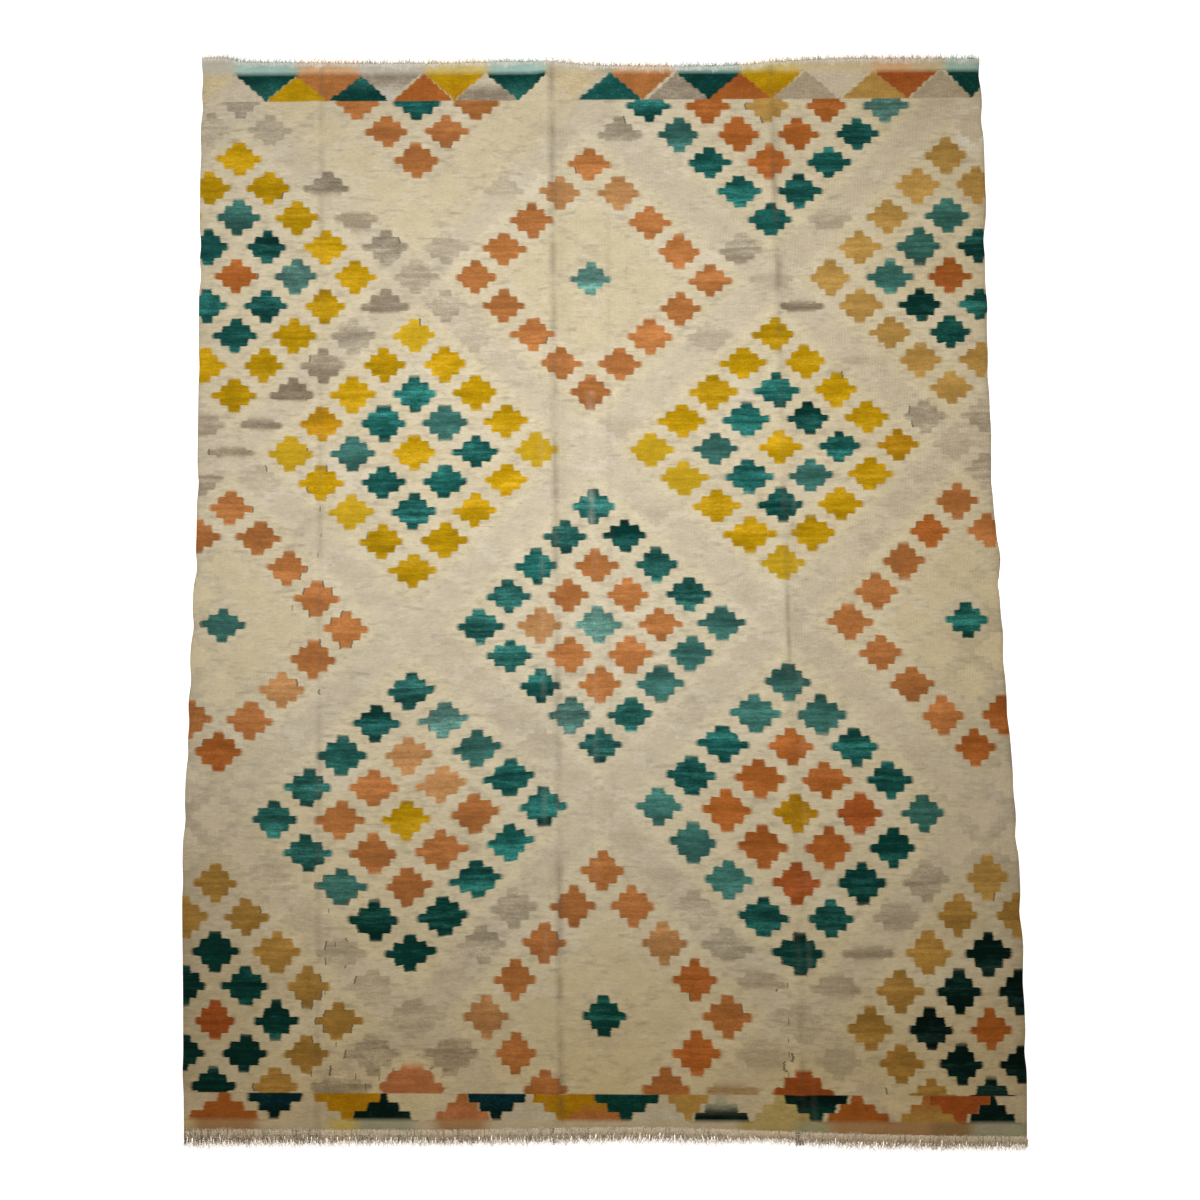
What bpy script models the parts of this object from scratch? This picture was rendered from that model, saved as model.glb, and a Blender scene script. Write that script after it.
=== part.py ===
"""A flat-woven kilim rug laid out on the floor: the woven sheet and the warp fringe of its near end.

Metres, +Z up.  X runs across the rug and Y along it, with the fringed end towards -Y.  The origin is
on the floor under the middle of the whole rug.
"""
import math
import random
from collections import namedtuple

import bmesh
import bpy

# ---- Driving dimensions --------------------------------------------------------------------------
THICKNESS = 0.0035          # wool weft packed over a cotton warp
SEAM_GAP = 0.0003           # the fringe's backing stands this far off the sheet
ROW_STEP = 0.075            # longest step between two rows of the sheet
FLAT_STEP = 0.085           # longest step between two columns away from the folds
FAR_END = 1.0138            # greatest y of the woven sheet
END_RELIEF = 0.060          # the folds die away over this much of the fringed end

BACKING_DEPTH = 0.007       # width of the strip that the fringe grows from
LOCK_COUNT = 200
LOCK_SHARE = 0.62           # part of the pitch that a lock's root takes
LOCK_MID_AT = 0.50          # where the middle section of a lock sits, as a part of its length
LOCK_MID_SIDE = 0.35        # how much of a lock's sideways lean its middle has
LOCK_MID_WIDTH = 0.0037
LOCK_TIP_WIDTH = 0.0018
LOCK_MID_HEIGHT = 0.0027
LOCK_TIP_HEIGHT = 0.0012
LOCK_WIDTH_SPREAD = 0.15    # locks are this part wider or narrower
LOCK_LENGTH_SPREAD = 0.20   # and this part longer or shorter than the table says
LOCK_SIDE_SPREAD = 0.0019   # and their tips wander this far sideways
FRINGE_SEED = 11

# ---- Outline -------------------------------------------------------------------------------------
# The selvedges lean a little to the right towards the fringed end, and the right one has a small
# bump just above the rug's middle.
Station = namedtuple("Station", "y left right")
SELVEDGES = (
    Station(1.0138, -0.7655, 0.7350),
    Station(0.8500, -0.7630, 0.7380),
    Station(0.7000, -0.7600, 0.7370),
    Station(0.5900, -0.7580, 0.7330),
    Station(0.3800, -0.7530, 0.7340),
    Station(0.1350, -0.7490, 0.7360),
    Station(0.0720, -0.7480, 0.7450),
    Station(0.0080, -0.7500, 0.7455),
    Station(-0.0080, -0.7505, 0.7420),
    Station(-0.1800, -0.7530, 0.7480),
    Station(-0.3600, -0.7540, 0.7570),
    Station(-0.5400, -0.7550, 0.7635),
    Station(-0.7600, -0.7470, 0.7645),
    Station(-0.8700, -0.7430, 0.7655),
    Station(-1.0000, -0.7380, 0.7620),
)

# How far each end of the weaving stands at a place across the rug.
EndPoint = namedtuple("EndPoint", "x y")
FAR_EDGE = (
    EndPoint(-0.766, FAR_END),
    EndPoint(-0.715, 1.0135),
    EndPoint(-0.690, 1.0060),
    EndPoint(-0.345, 1.0032),
    EndPoint(-0.104, 1.0070),
    EndPoint(0.002, 0.9990),
    EndPoint(0.244, 0.9990),
    EndPoint(0.410, 1.0110),
    EndPoint(0.580, 1.0130),
    EndPoint(0.766, 1.0125),
)
NEAR_EDGE = (
    EndPoint(-0.766, -0.9840),
    EndPoint(-0.265, -0.9850),
    EndPoint(0.090, -0.9810),
    EndPoint(0.261, -0.9860),
    EndPoint(0.412, -0.9910),
    EndPoint(0.590, -0.9950),
    EndPoint(0.766, -0.9970),
)

# Lines where the rug was once folded lengthways: each runs straight from far_x to near_x, between
# start_y and end_y, and those of the whole length start and end past the rug.
Fold = namedtuple("Fold", "kind far_x near_x height half_width start_y end_y")
PAST_END = 2.0
FOLDS = (
    Fold("trough", -0.530, -0.492, 0.0022, 0.034, PAST_END, -PAST_END),
    Fold("ridge", -0.104, -0.074, 0.0050, 0.026, PAST_END, -PAST_END),
    Fold("ridge", 0.000, 0.010, 0.0026, 0.022, 0.70, -0.62),
    Fold("ridge", 0.326, 0.362, 0.0040, 0.027, PAST_END, -PAST_END),
)
RIDGE_COLUMNS = (-1.0, -0.62, -0.30, 0.0, 0.30, 0.62, 1.0)
TROUGH_COLUMNS = (-1.0, -0.75, -0.50, -0.25, 0.0, 0.25, 0.50, 0.75, 1.0)
FOLD_FADE = 0.12            # a fold that ends inside the rug dies away over this length

# ---- Fringe --------------------------------------------------------------------------------------
Lock = namedtuple("Lock", "x length lean")
LOCK_RULE = (
    Lock(-0.766, 0.0240, -0.0010),
    Lock(-0.600, 0.0210, 0.0020),
    Lock(-0.400, 0.0190, -0.0015),
    Lock(-0.150, 0.0190, 0.0010),
    Lock(0.050, 0.0180, -0.0020),
    Lock(0.200, 0.0180, 0.0025),
    Lock(0.300, 0.0120, 0.0040),
    Lock(0.420, 0.0155, 0.0015),
    Lock(0.600, 0.0155, -0.0015),
    Lock(0.766, 0.0140, 0.0010),
)
# Single locks that hang out past their neighbours, by so much extra length.
StrayLock = namedtuple("StrayLock", "x extra")
STRAY_LOCKS = (
    StrayLock(-0.082, 0.0060),
    StrayLock(0.237, 0.0090),
    StrayLock(0.352, 0.0095),
    StrayLock(0.361, 0.0080),
)

FIELD_COLOUR = (0.56, 0.48, 0.36, 1.0)
FRINGE_COLOUR = (0.72, 0.66, 0.54, 1.0)
WOOL_ROUGHNESS = 0.92
COTTON_ROUGHNESS = 0.88


def clear_scene():
    for item in list(bpy.data.objects):
        bpy.data.objects.remove(item, do_unlink=True)


def smooth(table, key, value, at):
    """Value of a table's column where its key column equals at, on a smooth curve."""
    rows = sorted(table, key=lambda row: getattr(row, key))
    keys = [getattr(row, key) for row in rows]
    values = [getattr(row, value) for row in rows]
    at = min(max(at, keys[0]), keys[-1])
    low = 0
    while low < len(keys) - 2 and at > keys[low + 1]:
        low += 1
    span = keys[low + 1] - keys[low]

    def slope(index):
        before = max(index - 1, 0)
        after = min(index + 1, len(keys) - 1)
        return (values[after] - values[before]) / (keys[after] - keys[before])

    t = (at - keys[low]) / span
    start = (1.0 + 2.0 * t) * (1.0 - t) ** 2 * values[low]
    end = t * t * (3.0 - 2.0 * t) * values[low + 1]
    bend = t * (1.0 - t) ** 2 * slope(low) - t * t * (1.0 - t) * slope(low + 1)
    return start + end + bend * span


def blend(value):
    """Soft step from 0 to 1."""
    value = min(max(value, 0.0), 1.0)
    return value * value * (3.0 - 2.0 * value)


def material(name, colour, roughness):
    surface = bpy.data.materials.new(name)
    surface.use_nodes = True
    shader = surface.node_tree.nodes["Principled BSDF"]
    shader.inputs["Base Color"].default_value = colour
    shader.inputs["Roughness"].default_value = roughness
    shader.inputs["Metallic"].default_value = 0.0
    return surface


def add_object(name, mesh, collection, surface):
    item = bpy.data.objects.new(name, mesh)
    item.data.materials.append(surface)
    collection.objects.link(item)
    return item


# ---- The woven sheet -----------------------------------------------------------------------------
def fold_x(fold, y):
    along = (FAR_END - y) / (2.0 * FAR_END)
    return fold.far_x + (fold.near_x - fold.far_x) * along


def fold_height(x, y):
    """Height of the sheet's underside over the floor."""
    height = 0.0
    for fold in FOLDS:
        across = (x - fold_x(fold, y)) / fold.half_width
        if abs(across) >= 1.0:
            continue
        rise = math.cos(0.5 * math.pi * across) ** 2
        if fold.kind == "trough":
            rise = math.sin(math.pi * across) ** 2
        fade = blend((fold.start_y - y) / FOLD_FADE) * blend((y - fold.end_y) / FOLD_FADE)
        height += fold.height * rise * fade
    return height * blend((y - NEAR_EDGE[0].y) / END_RELIEF)


def row_places():
    """Places of the sheet's rows as parts of its length, with one at every selvedge station."""
    stations = sorted(station.y for station in SELVEDGES)
    low, high = stations[0], stations[-1]
    places = [0.0]
    for before, after in zip(stations, stations[1:]):
        steps = math.ceil((after - before) / ROW_STEP)
        for step in range(1, steps + 1):
            y = before + (after - before) * step / steps
            places.append((y - low) / (high - low))
    relief = END_RELIEF / (high - low)
    places += [0.5 * relief, relief]
    return sorted(set(round(place, 4) for place in places))


def column_places(y):
    """x of each column of the sheet at a distance along it: close at the folds, wide between."""
    left = smooth(SELVEDGES, "y", "left", y)
    right = smooth(SELVEDGES, "y", "right", y)
    clusters = []
    for fold in FOLDS:
        parts = TROUGH_COLUMNS if fold.kind == "trough" else RIDGE_COLUMNS
        centre = fold_x(fold, y)
        clusters.append([centre + part * fold.half_width for part in parts])
    columns = [left]
    for cluster, spacing in zip(clusters + [[right]], flat_steps()):
        start = columns[-1]
        for step in range(1, spacing):
            columns.append(start + (cluster[0] - start) * step / spacing)
        columns += cluster
    return columns


def flat_steps():
    """Number of steps from one fold to the next, the same in every row."""
    edges = [SELVEDGES[0].left]
    for fold in FOLDS:
        edges += [fold.far_x - fold.half_width, fold.far_x + fold.half_width]
    edges.append(SELVEDGES[0].right)
    gaps = zip(edges[0::2], edges[1::2])
    return [max(1, math.ceil((after - before) / FLAT_STEP)) for before, after in gaps]


def sheet_near_y(x):
    return smooth(NEAR_EDGE, "x", "y", x) + BACKING_DEPTH + SEAM_GAP


def sheet_points():
    """Rows of underside points, from the fringed end to the far end."""
    low = SELVEDGES[-1].y
    rows = []
    for place in row_places():
        nominal_y = low + (FAR_END - low) * place
        row = []
        for x in column_places(nominal_y):
            near = sheet_near_y(x)
            far = smooth(FAR_EDGE, "x", "y", x)
            y = near + (far - near) * place
            row.append((x, y, fold_height(x, y)))
        rows.append(row)
    return rows


def build_field(collection):
    rows = sheet_points()
    mesh = bpy.data.meshes.new("field")
    shell = bmesh.new()
    bmesh.ops.create_grid(shell, x_segments=len(rows[0]) - 1, y_segments=len(rows) - 1, size=0.5)
    shell.verts.ensure_lookup_table()
    for number, vertex in enumerate(shell.verts):
        row, column = divmod(number, len(rows[0]))
        vertex.co = rows[row][column]
    bmesh.ops.recalc_face_normals(shell, faces=shell.faces)
    if sum(face.normal.z for face in shell.faces) < 0.0:
        bmesh.ops.reverse_faces(shell, faces=shell.faces)
    shell.to_mesh(mesh)
    shell.free()
    mesh.shade_smooth()
    wool = material("wool_weave", FIELD_COLOUR, WOOL_ROUGHNESS)
    field = add_object("field", mesh, collection, wool)
    body = field.modifiers.new("cloth thickness", "SOLIDIFY")
    body.thickness = THICKNESS
    body.offset = 1.0
    return rows[0]


# ---- The fringe ----------------------------------------------------------------------------------
def seam_y(seam, x):
    """y of the sheet's near edge, read off its own straight edges so that the gap stays even."""
    for before, after in zip(seam, seam[1:]):
        if x <= after[0]:
            part = (x - before[0]) / (after[0] - before[0])
            return before[1] + (after[1] - before[1]) * part
    return seam[-1][1]


def backing_breaks(left, right):
    """x of the lines across the backing: a lock, a space, a lock, ... with a space at each end."""
    pitch = (right - left) / LOCK_COUNT
    margin = 0.5 * (1.0 - LOCK_SHARE) * pitch
    breaks = [left]
    for number in range(LOCK_COUNT):
        start = left + number * pitch
        breaks += [start + margin, start + pitch - margin]
    return breaks + [right]


def lock_reach(x, chance):
    """Length of the lock at x, how far its tip goes sideways, and its width as a factor."""
    length = smooth(LOCK_RULE, "x", "length", x)
    length *= 1.0 + LOCK_LENGTH_SPREAD * chance.uniform(-1.0, 1.0)
    side = smooth(LOCK_RULE, "x", "lean", x) + LOCK_SIDE_SPREAD * chance.uniform(-1.0, 1.0)
    width = 1.0 + LOCK_WIDTH_SPREAD * chance.uniform(-1.0, 1.0)
    pitch = (SELVEDGES[0].right - SELVEDGES[0].left) / LOCK_COUNT
    for stray in STRAY_LOCKS:
        if abs(x - stray.x) < 0.5 * pitch:
            length += stray.extra
    return length, side, width


def place_section(face, x, y, width, height):
    """Move a lock's end face to a section that lies on the floor."""
    middle = face.calc_center_median()
    for vertex in face.verts:
        to_right = vertex.co.x > middle.x
        on_top = vertex.co.z > middle.z
        vertex.co.x = x + (0.5 * width if to_right else -0.5 * width)
        vertex.co.y = y
        vertex.co.z = height if on_top else 0.0


def grow_lock(shell, root, chance):
    centre = root.calc_center_median()
    length, side, wider = lock_reach(centre.x, chance)
    sections = (
        (LOCK_MID_AT, LOCK_MID_SIDE * side, LOCK_MID_WIDTH * wider, LOCK_MID_HEIGHT),
        (1.0, side, LOCK_TIP_WIDTH * wider, LOCK_TIP_HEIGHT),
    )
    face = root
    for part, across, width, height in sections:
        face = bmesh.ops.extrude_discrete_faces(shell, faces=[face])["faces"][0]
        place_section(face, centre.x + across, centre.y - part * length, width, height)


def backing_shell(seam):
    """The strip that the locks grow from, split across at each lock's two sides."""
    breaks = backing_breaks(seam[0][0], seam[-1][0])
    shell = bmesh.new()
    bmesh.ops.create_grid(shell, x_segments=len(breaks) - 1, y_segments=1, size=0.5)
    shell.verts.ensure_lookup_table()
    for number, vertex in enumerate(shell.verts):
        row, column = divmod(number, len(breaks))
        x = breaks[column]
        back = seam_y(seam, x) - SEAM_GAP
        vertex.co = (x, back if row else back - BACKING_DEPTH, 0.0)
    bottom = list(shell.faces)
    raised = bmesh.ops.extrude_face_region(shell, geom=bottom, use_keep_orig=True)["geom"]
    for item in raised:
        if isinstance(item, bmesh.types.BMVert):
            item.co.z = THICKNESS
    bmesh.ops.recalc_face_normals(shell, faces=shell.faces)
    return shell


def build_fringe(collection, seam):
    chance = random.Random(FRINGE_SEED)
    shell = backing_shell(seam)
    fronts = [face for face in shell.faces if face.normal.y < -0.7]
    fronts.sort(key=lambda face: face.calc_center_median().x)
    for root in fronts[1::2]:
        grow_lock(shell, root, chance)
    bmesh.ops.recalc_face_normals(shell, faces=shell.faces)
    mesh = bpy.data.meshes.new("fringe")
    shell.to_mesh(mesh)
    shell.free()
    cotton = material("cotton_warp", FRINGE_COLOUR, COTTON_ROUGHNESS)
    add_object("fringe", mesh, collection, cotton)


def main():
    clear_scene()
    rug = bpy.data.collections.new("kilim_rug")
    bpy.context.scene.collection.children.link(rug)
    seam = build_field(rug)
    build_fringe(rug, seam)


main()
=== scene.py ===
import math
import random
from collections import namedtuple

import bpy
import numpy as np
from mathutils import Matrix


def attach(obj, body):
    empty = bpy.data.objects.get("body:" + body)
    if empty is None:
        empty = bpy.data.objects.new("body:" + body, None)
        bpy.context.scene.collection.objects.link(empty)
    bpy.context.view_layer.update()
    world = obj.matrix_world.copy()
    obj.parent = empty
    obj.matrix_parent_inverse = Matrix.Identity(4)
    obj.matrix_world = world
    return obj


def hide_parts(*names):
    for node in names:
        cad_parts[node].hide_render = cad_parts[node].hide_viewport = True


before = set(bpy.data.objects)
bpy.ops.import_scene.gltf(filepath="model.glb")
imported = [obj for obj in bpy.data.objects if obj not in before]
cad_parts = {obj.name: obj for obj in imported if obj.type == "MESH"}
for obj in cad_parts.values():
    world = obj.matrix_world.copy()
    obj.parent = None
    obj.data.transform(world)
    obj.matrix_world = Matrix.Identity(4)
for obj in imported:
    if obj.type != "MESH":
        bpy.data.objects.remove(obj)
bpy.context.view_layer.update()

MM = 0.001
TINY = 1e-12                # keeps sums of weights
TINY_LENGTH = 1e-9          # and lengths off zero


def rows_of(kind, *rows):
    """A table whose rows are named tuples of one kind."""
    return tuple(kind(*row) for row in rows)


# ---- Cloth ----
THICKNESS = 0.0035
COLUMNS = 184               # steps of the cloth's mesh across
ROWS = 244                  # and along
FAR_END = 1.0138
END_RELIEF = 0.060          # the folds die away over this much of the fringed end
FOLD_FADE = 0.12            # a fold that ends inside the rug dies away over this length
EDGE_ROUND = 0.0011         # the cloth's rim bulges this far past its edge
EDGE_PINCH = 0.55           # part of the thickness that is left at the rim
UNDER_SHARE = 0.3           # how much of the surface's ripple the underside follows
SURFACE_SEED = 5

# The selvedges lean a little to the right towards the fringed end; the right one has a small bump.
Station = namedtuple("Station", "y left right")
SELVEDGES = rows_of(
    Station,
    (1.0138, -0.7655, 0.735), (0.85, -0.763, 0.738), (0.7, -0.76, 0.737), (0.59, -0.758, 0.733),
    (0.38, -0.753, 0.734), (0.135, -0.749, 0.736), (0.072, -0.748, 0.745), (0.008, -0.75, 0.7455),
    (-0.008, -0.7505, 0.742), (-0.18, -0.753, 0.748), (-0.36, -0.754, 0.757), (-0.54, -0.755, 0.7635),
    (-0.76, -0.747, 0.7645), (-0.87, -0.743, 0.7655), (-1.0, -0.738, 0.762),
)
EndPoint = namedtuple("EndPoint", "x y")
FAR_EDGE = rows_of(
    EndPoint,
    (-0.766, FAR_END), (-0.715, 1.0135), (-0.69, 1.006), (-0.345, 1.0032), (-0.104, 1.007), (0.002, 0.999),
    (0.244, 0.999), (0.41, 1.011), (0.58, 1.013), (0.766, 1.0125),
)
NEAR_EDGE = rows_of(
    EndPoint,
    (-0.766, -0.984), (-0.265, -0.985), (0.09, -0.981), (0.261, -0.986), (0.412, -0.991), (0.59, -0.995),
    (0.766, -0.997),
)
# Lines where the rug was once folded lengthways, each straight from far_x to near_x.
Fold = namedtuple("Fold", "kind far_x near_x height half_width start_y end_y")
PAST_END = 2.0
FOLDS = rows_of(
    Fold,
    ("trough", -0.53, -0.492, 0.0022, 0.034, PAST_END, -PAST_END),
    ("ridge", -0.104, -0.074, 0.005, 0.026, PAST_END, -PAST_END),
    ("ridge", 0.0, 0.01, 0.0026, 0.022, 0.7, -0.62),
    ("ridge", 0.326, 0.362, 0.004, 0.027, PAST_END, -PAST_END),
)

# ---- Dyes ----
# Colours of the wool as 0-255 screen values; streaks says how unevenly the dye took.
Dye = namedtuple("Dye", "name red green blue streaks")
DYES = rows_of(
    Dye,
    ("cream", 219, 207, 176, 0.1), ("khaki", 215, 202, 170, 0.1), ("greige", 211, 199, 176, 0.12),
    ("dim greige", 180, 166, 142, 0.25), ("grey", 156, 144, 126, 0.6), ("brown grey", 138, 122, 102, 0.55),
    ("teal", 26, 88, 83, 1.0), ("soft teal", 40, 98, 92, 1.0), ("light teal", 88, 130, 122, 0.8),
    ("dusty teal", 60, 110, 103, 0.6), ("dark teal", 8, 62, 57, 0.8), ("navy", 4, 44, 56, 0.8),
    ("black green", 2, 30, 27, 0.7), ("orange", 180, 117, 65, 0.3), ("light orange", 192, 142, 92, 0.3),
    ("deep orange", 172, 100, 44, 0.3), ("salmon", 190, 124, 84, 0.3), ("rust", 166, 88, 40, 0.35),
    ("yellow", 192, 151, 8, 0.35), ("lemon", 205, 168, 36, 0.2), ("gold", 184, 136, 14, 0.35),
    ("tan", 186, 148, 80, 0.25), ("dull tan", 170, 132, 66, 0.3), ("olive", 194, 176, 122, 0.3),
    ("pale grey", 206, 200, 186, 0.2), ("pale aqua", 172, 206, 198, 0.25), ("peach", 226, 184, 142, 0.25),
    ("pale gold", 220, 198, 124, 0.25), ("grey green", 176, 176, 148, 0.25), ("beige", 214, 198, 160, 0.2),
    ("blue grey", 176, 178, 160, 0.25), ("salmon brown", 184, 146, 108, 0.3), ("brown", 160, 130, 92, 0.3),
    ("warp cotton", 255, 237, 208, 0.0),
)
DYES = {dye.name: dye for dye in DYES}

# Selvedges draw in where a lozenge's wefts pull on them.  at is the y of the middle of a dip, and depth is
# how far the edge lies inside its rule there; a bulge has a negative depth.
Dip = namedtuple("Dip", "at depth")
DIP_REACH = 0.024
LEFT_DIPS = rows_of(
    Dip,
    (0.97, 0.003), (0.912, 0.0035), (0.82, 0.0015), (0.64, 0.003), (0.58, 0.0035), (0.4, 0.0015),
    (0.175, 0.003), (0.015, 0.0045), (-0.095, 0.004), (-0.195, 0.0035), (-0.275, 0.003), (-0.33, 0.003),
    (-0.45, 0.003), (-0.56, 0.0015), (-0.9, -0.0015),
)
RIGHT_DIPS = rows_of(
    Dip,
    (0.98, 0.004), (0.89, 0.0035), (0.725, -0.0015), (0.655, 0.0035), (0.525, -0.0025), (0.39, 0.002),
    (0.28, -0.0015), (0.19, 0.002), (0.08, 0.004), (0.005, 0.0035), (-0.1, -0.002), (-0.15, 0.0015),
    (-0.25, 0.002), (-0.39, 0.0015), (-0.47, 0.004), (-0.605, 0.0035), (-0.665, -0.0015), (-0.73, 0.0015),
    (-0.85, 0.0035),
)

# ---- Lozenge lattice ----
# Lozenges sit where i + j is even, i counting half pitches across and j along.  Each medallion has
# five by five of them, and its own pitch: the weaver's steps grow and shrink over the rug.  left,
# right, up and down are half pitches in millimetres; outer, inner and centre are the dyes of the rings.
# A medallion's corners stray in millimetres too: the side corners rise and the end corners lean.
Medallion = namedtuple(
    "Medallion",
    "i j x y left right up down left_rise right_rise up_lean down_lean outer inner centre",
)
MEDALLIONS = rows_of(
    Medallion,
    (-6, 20, -0.351, 1.039, 57.0, 57.0, 57.5, 57.5, 0, 0, 0, 3, "orange", "teal", "orange"),
    (6, 18, 0.324, 0.918, 57.0, 57.0, 56.6, 56.6, 0, 0, 0, 4, "teal", "deep orange", "tan"),
    (-12, 12, -0.687, 0.581, 56.4, 56.4, 57.9, 57.6, 0, -2, -1, 1, "yellow", "teal", "deep orange"),
    (0, 12, -0.016, 0.575, 54.5, 56.8, 56.5, 54.7, 4, -4, -4, 0, "orange", "", "light teal"),
    (12, 12, 0.666, 0.581, 56.7, 56.7, 59.9, 53.8, -4, 0, -1, -3, "tan", "teal", "deep orange"),
    (-6, 6, -0.344, 0.241, 58.3, 57.2, 56.2, 55.6, -3, 5, -3, -1, "yellow", "teal", "yellow"),
    (6, 6, 0.341, 0.252, 60.8, 55.2, 54.1, 54.5, -6, 4, -8, 1, "yellow", "teal", "yellow"),
    (-12, 0, -0.695, -0.081, 56.8, 56.8, 54.7, 58.1, 0, -9, 9, -1, "orange", "", "teal"),
    (0, 0, 0.001, -0.081, 54.9, 56.7, 55.1, 55.4, -4, 2, -11, 2, "soft teal", "orange", "light teal"),
    (12, 0, 0.68, -0.072, 53.9, 55.0, 55.7, 58.6, -4, 0, -12, 8, "orange", "", "teal"),
    (-6, -6, -0.351, -0.439, 60.4, 62.7, 58.4, 59.6, 2, 27, 4, 10, "soft teal", "orange", "yellow"),
    (6, -6, 0.36, -0.425, 62.7, 58.2, 59.4, 63.1, 12, 0, -13, 2, "teal", "deep orange", "gold"),
    (-12, -12, -0.689, -0.793, 55.5, 55.5, 60.7, 57.0, 0, -2, -5, 0, "dull tan", "dark teal", "rust"),
    (0, -12, 0.01, -0.785, 52.9, 55.1, 64.7, 64.0, -2, -2, -4, 0, "orange", "", "dark teal"),
    (12, -12, 0.703, -0.811, 53.7, 53.7, 67.7, 59.0, 2, 0, 1, 0, "dull tan", "black green", "deep orange"),
    (-6, -18, -0.334, -1.163, 60.0, 60.0, 63.0, 63.0, 0, 0, 0, 0, "salmon", "teal", "salmon"),
    (6, -18, 0.366, -1.172, 60.0, 60.0, 63.0, 63.0, 0, 0, 0, 0, "rust", "teal", "rust"),
)
CORNER = 4.0                # half pitches from a medallion's middle to its corners
HOLLOW = (-6, 18)           # middle of the yellower ground round the half medallion at the far left
MEDALLION_REACH = 0.11      # how far a medallion's own pitch holds before its neighbours' takes over
LATTICE_SPAN = 24           # largest i or j that any part of the rug reaches
CREAM_EDGE = (2.50, 0.30)   # the ring where a medallion's ground starts to fade, and over how much
KHAKI_EDGE = (1.2, 0.5)     # the same for the yellower ground inside a medallion without inner rings
HOLLOW_EDGE = (2.6, 0.3)

# Lozenges that don't follow their medallion's ring, or that stand in the bands between medallions,
# each place given by its i and j.  strength is how far the dye stands off the ground, and low to high
# are the bars that show, from -2, the lowest of the five, to 2, the highest.
Lozenge = namedtuple("Lozenge", "dye strength low high", defaults=(-2, 2))
Odd = namedtuple("Odd", "dye strength low high places")
ODD_LOZENGES = rows_of(
    Odd,
    ("brown", 0.85, 0, 0, ((4, -14),)),
    ("brown grey", 0.9, 0, 2, ((-10, 8),)),
    ("brown grey", 0.9, 0, 0, ((7, 11),)),
    ("brown grey", 0.8, 0, 0, ((-11, 7), (-12, 6))),
    ("brown grey", 0.75, -2, 2, ((-9, 9),)),
    ("brown grey", 0.75, -2, 1, ((-5, -13),)),
    ("brown grey", 0.7, -2, 0, ((-13, 5),)),
    ("brown grey", 0.7, -1, 0, ((-8, 14),)),
    ("brown grey", 0.7, 0, 2, ((-7, 11),)),
    ("brown grey", 0.6, -1, 1, ((-13, 7),)),
    ("brown grey", 0.6, 0, 0, ((8, -10),)),
    ("brown grey", 0.55, 0, 1, ((5, -11),)),
    ("brown grey", 0.4, 0, 1, ((7, -11),)),
    ("brown grey", 0.3, -1, 1, ((5, -13),)),
    ("brown grey", 0.3, 0, 0, ((9, 9),)),
    ("brown grey", 0.25, -1, 0, ((6, 12),)),
    ("brown grey", 0.2, 0, 0, ((-10, 16),)),
    ("grey", 0.8, -2, 2, ((-12, 18), (-7, 13), (-8, -14))),
    ("grey", 0.8, 0, 2, ((-9, 15),)),
    ("grey", 0.75, -2, 2, ((-7, -13),)),
    ("grey", 0.7, -2, 2, ((11, 7),)),
    ("grey", 0.7, -1, 2, ((5, 13),)),
    ("grey", 0.7, 0, 2, ((1, 17),)),
    ("grey", 0.65, -2, 2, ((-3, -9),)),
    ("grey", 0.6, -2, 2, ((-13, 17), (-8, 10), (13, 7), (13, 5), (-4, -10), (10, -8))),
    ("grey", 0.55, -2, 2, ((-6, 12), (-5, 11))),
    ("grey", 0.55, -1, 2, ((4, -10),)),
    ("grey", 0.45, -2, 2, ((-11, 17), (3, -9))),
    ("grey", 0.45, -1, 1, ((9, -9),)),
    ("grey", 0.4, -2, 2, ((-5, 13), (-7, -11), (-6, -12))),
    ("grey", 0.4, -1, 1, ((8, 14), (-8, -10))),
    ("grey", 0.4, 0, 2, ((-10, -8),)),
    ("grey", 0.35, -2, 2, ((4, 10), (6, -12))),
    ("grey", 0.3, -2, 2, ((-4, 10), (12, 6), (7, -13))),
    ("grey", 0.3, 0, 2, ((-3, 15),)),
    ("grey", 0.25, -2, 2, ((-11, 5),)),
    ("grey", 0.25, -1, 1, ((11, 5),)),
    ("grey", 0.15, 0, 0, ((5, 11),)),
    ("light orange", 1.0, -2, 2, ((-1, 15), (1, 15))),
    ("light teal", 1.0, -2, 2, ((10, 18),)),
)
# Lozenges of the medallions that took another batch of dye than the rest of their ring.
REDYED = (
    ("light teal", ((-10, 12), (-1, -3), (-5, -3))),
    ("dusty teal", ((4, 6), (-5, 7), (7, 5), (-8, 6), (3, 17), (10, 12), (11, 13), (12, 14), (-12, 14))),
    ("dusty teal", ((7, -3), (5, -3), (6, -2), (3, -7), (4, -8), (10, -6), (2, -6), (-4, -4), (-8, -8))),
    ("dusty teal", ((4, 0), (3, -1), (2, -2), (-12, 0))),
    ("teal", ((-2, 2), (-2, -2), (-2, -6), (-3, -5), (-3, -7), (-4, -8), (-7, -3))),
    ("dark teal", ((7, 7), (6, 4), (11, 11), (12, 10), (8, -8), (6, -10), (9, -7), (1, 3))),
    ("dark teal", ((-5, -9), (-7, -9), (-6, -10))),
    ("light orange", ((-2, 0), (2, -10), (-4, -12), (-5, -5), (-6, -4), (-10, -2))),
    ("deep orange", ((3, -13), (3, -11), (11, 3), (13, -3), (12, -4), (-12, -4))),
    ("rust", ((6, -8), (8, -6))),
    ("lemon", ((2, 6), (6, 2), (-2, 6), (3, 5), (-8, 4), (-10, 6), (-6, 10))),
    ("gold", ((10, 6), (-9, 7))),
    ("tan", ((12, -8),)),
)
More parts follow.
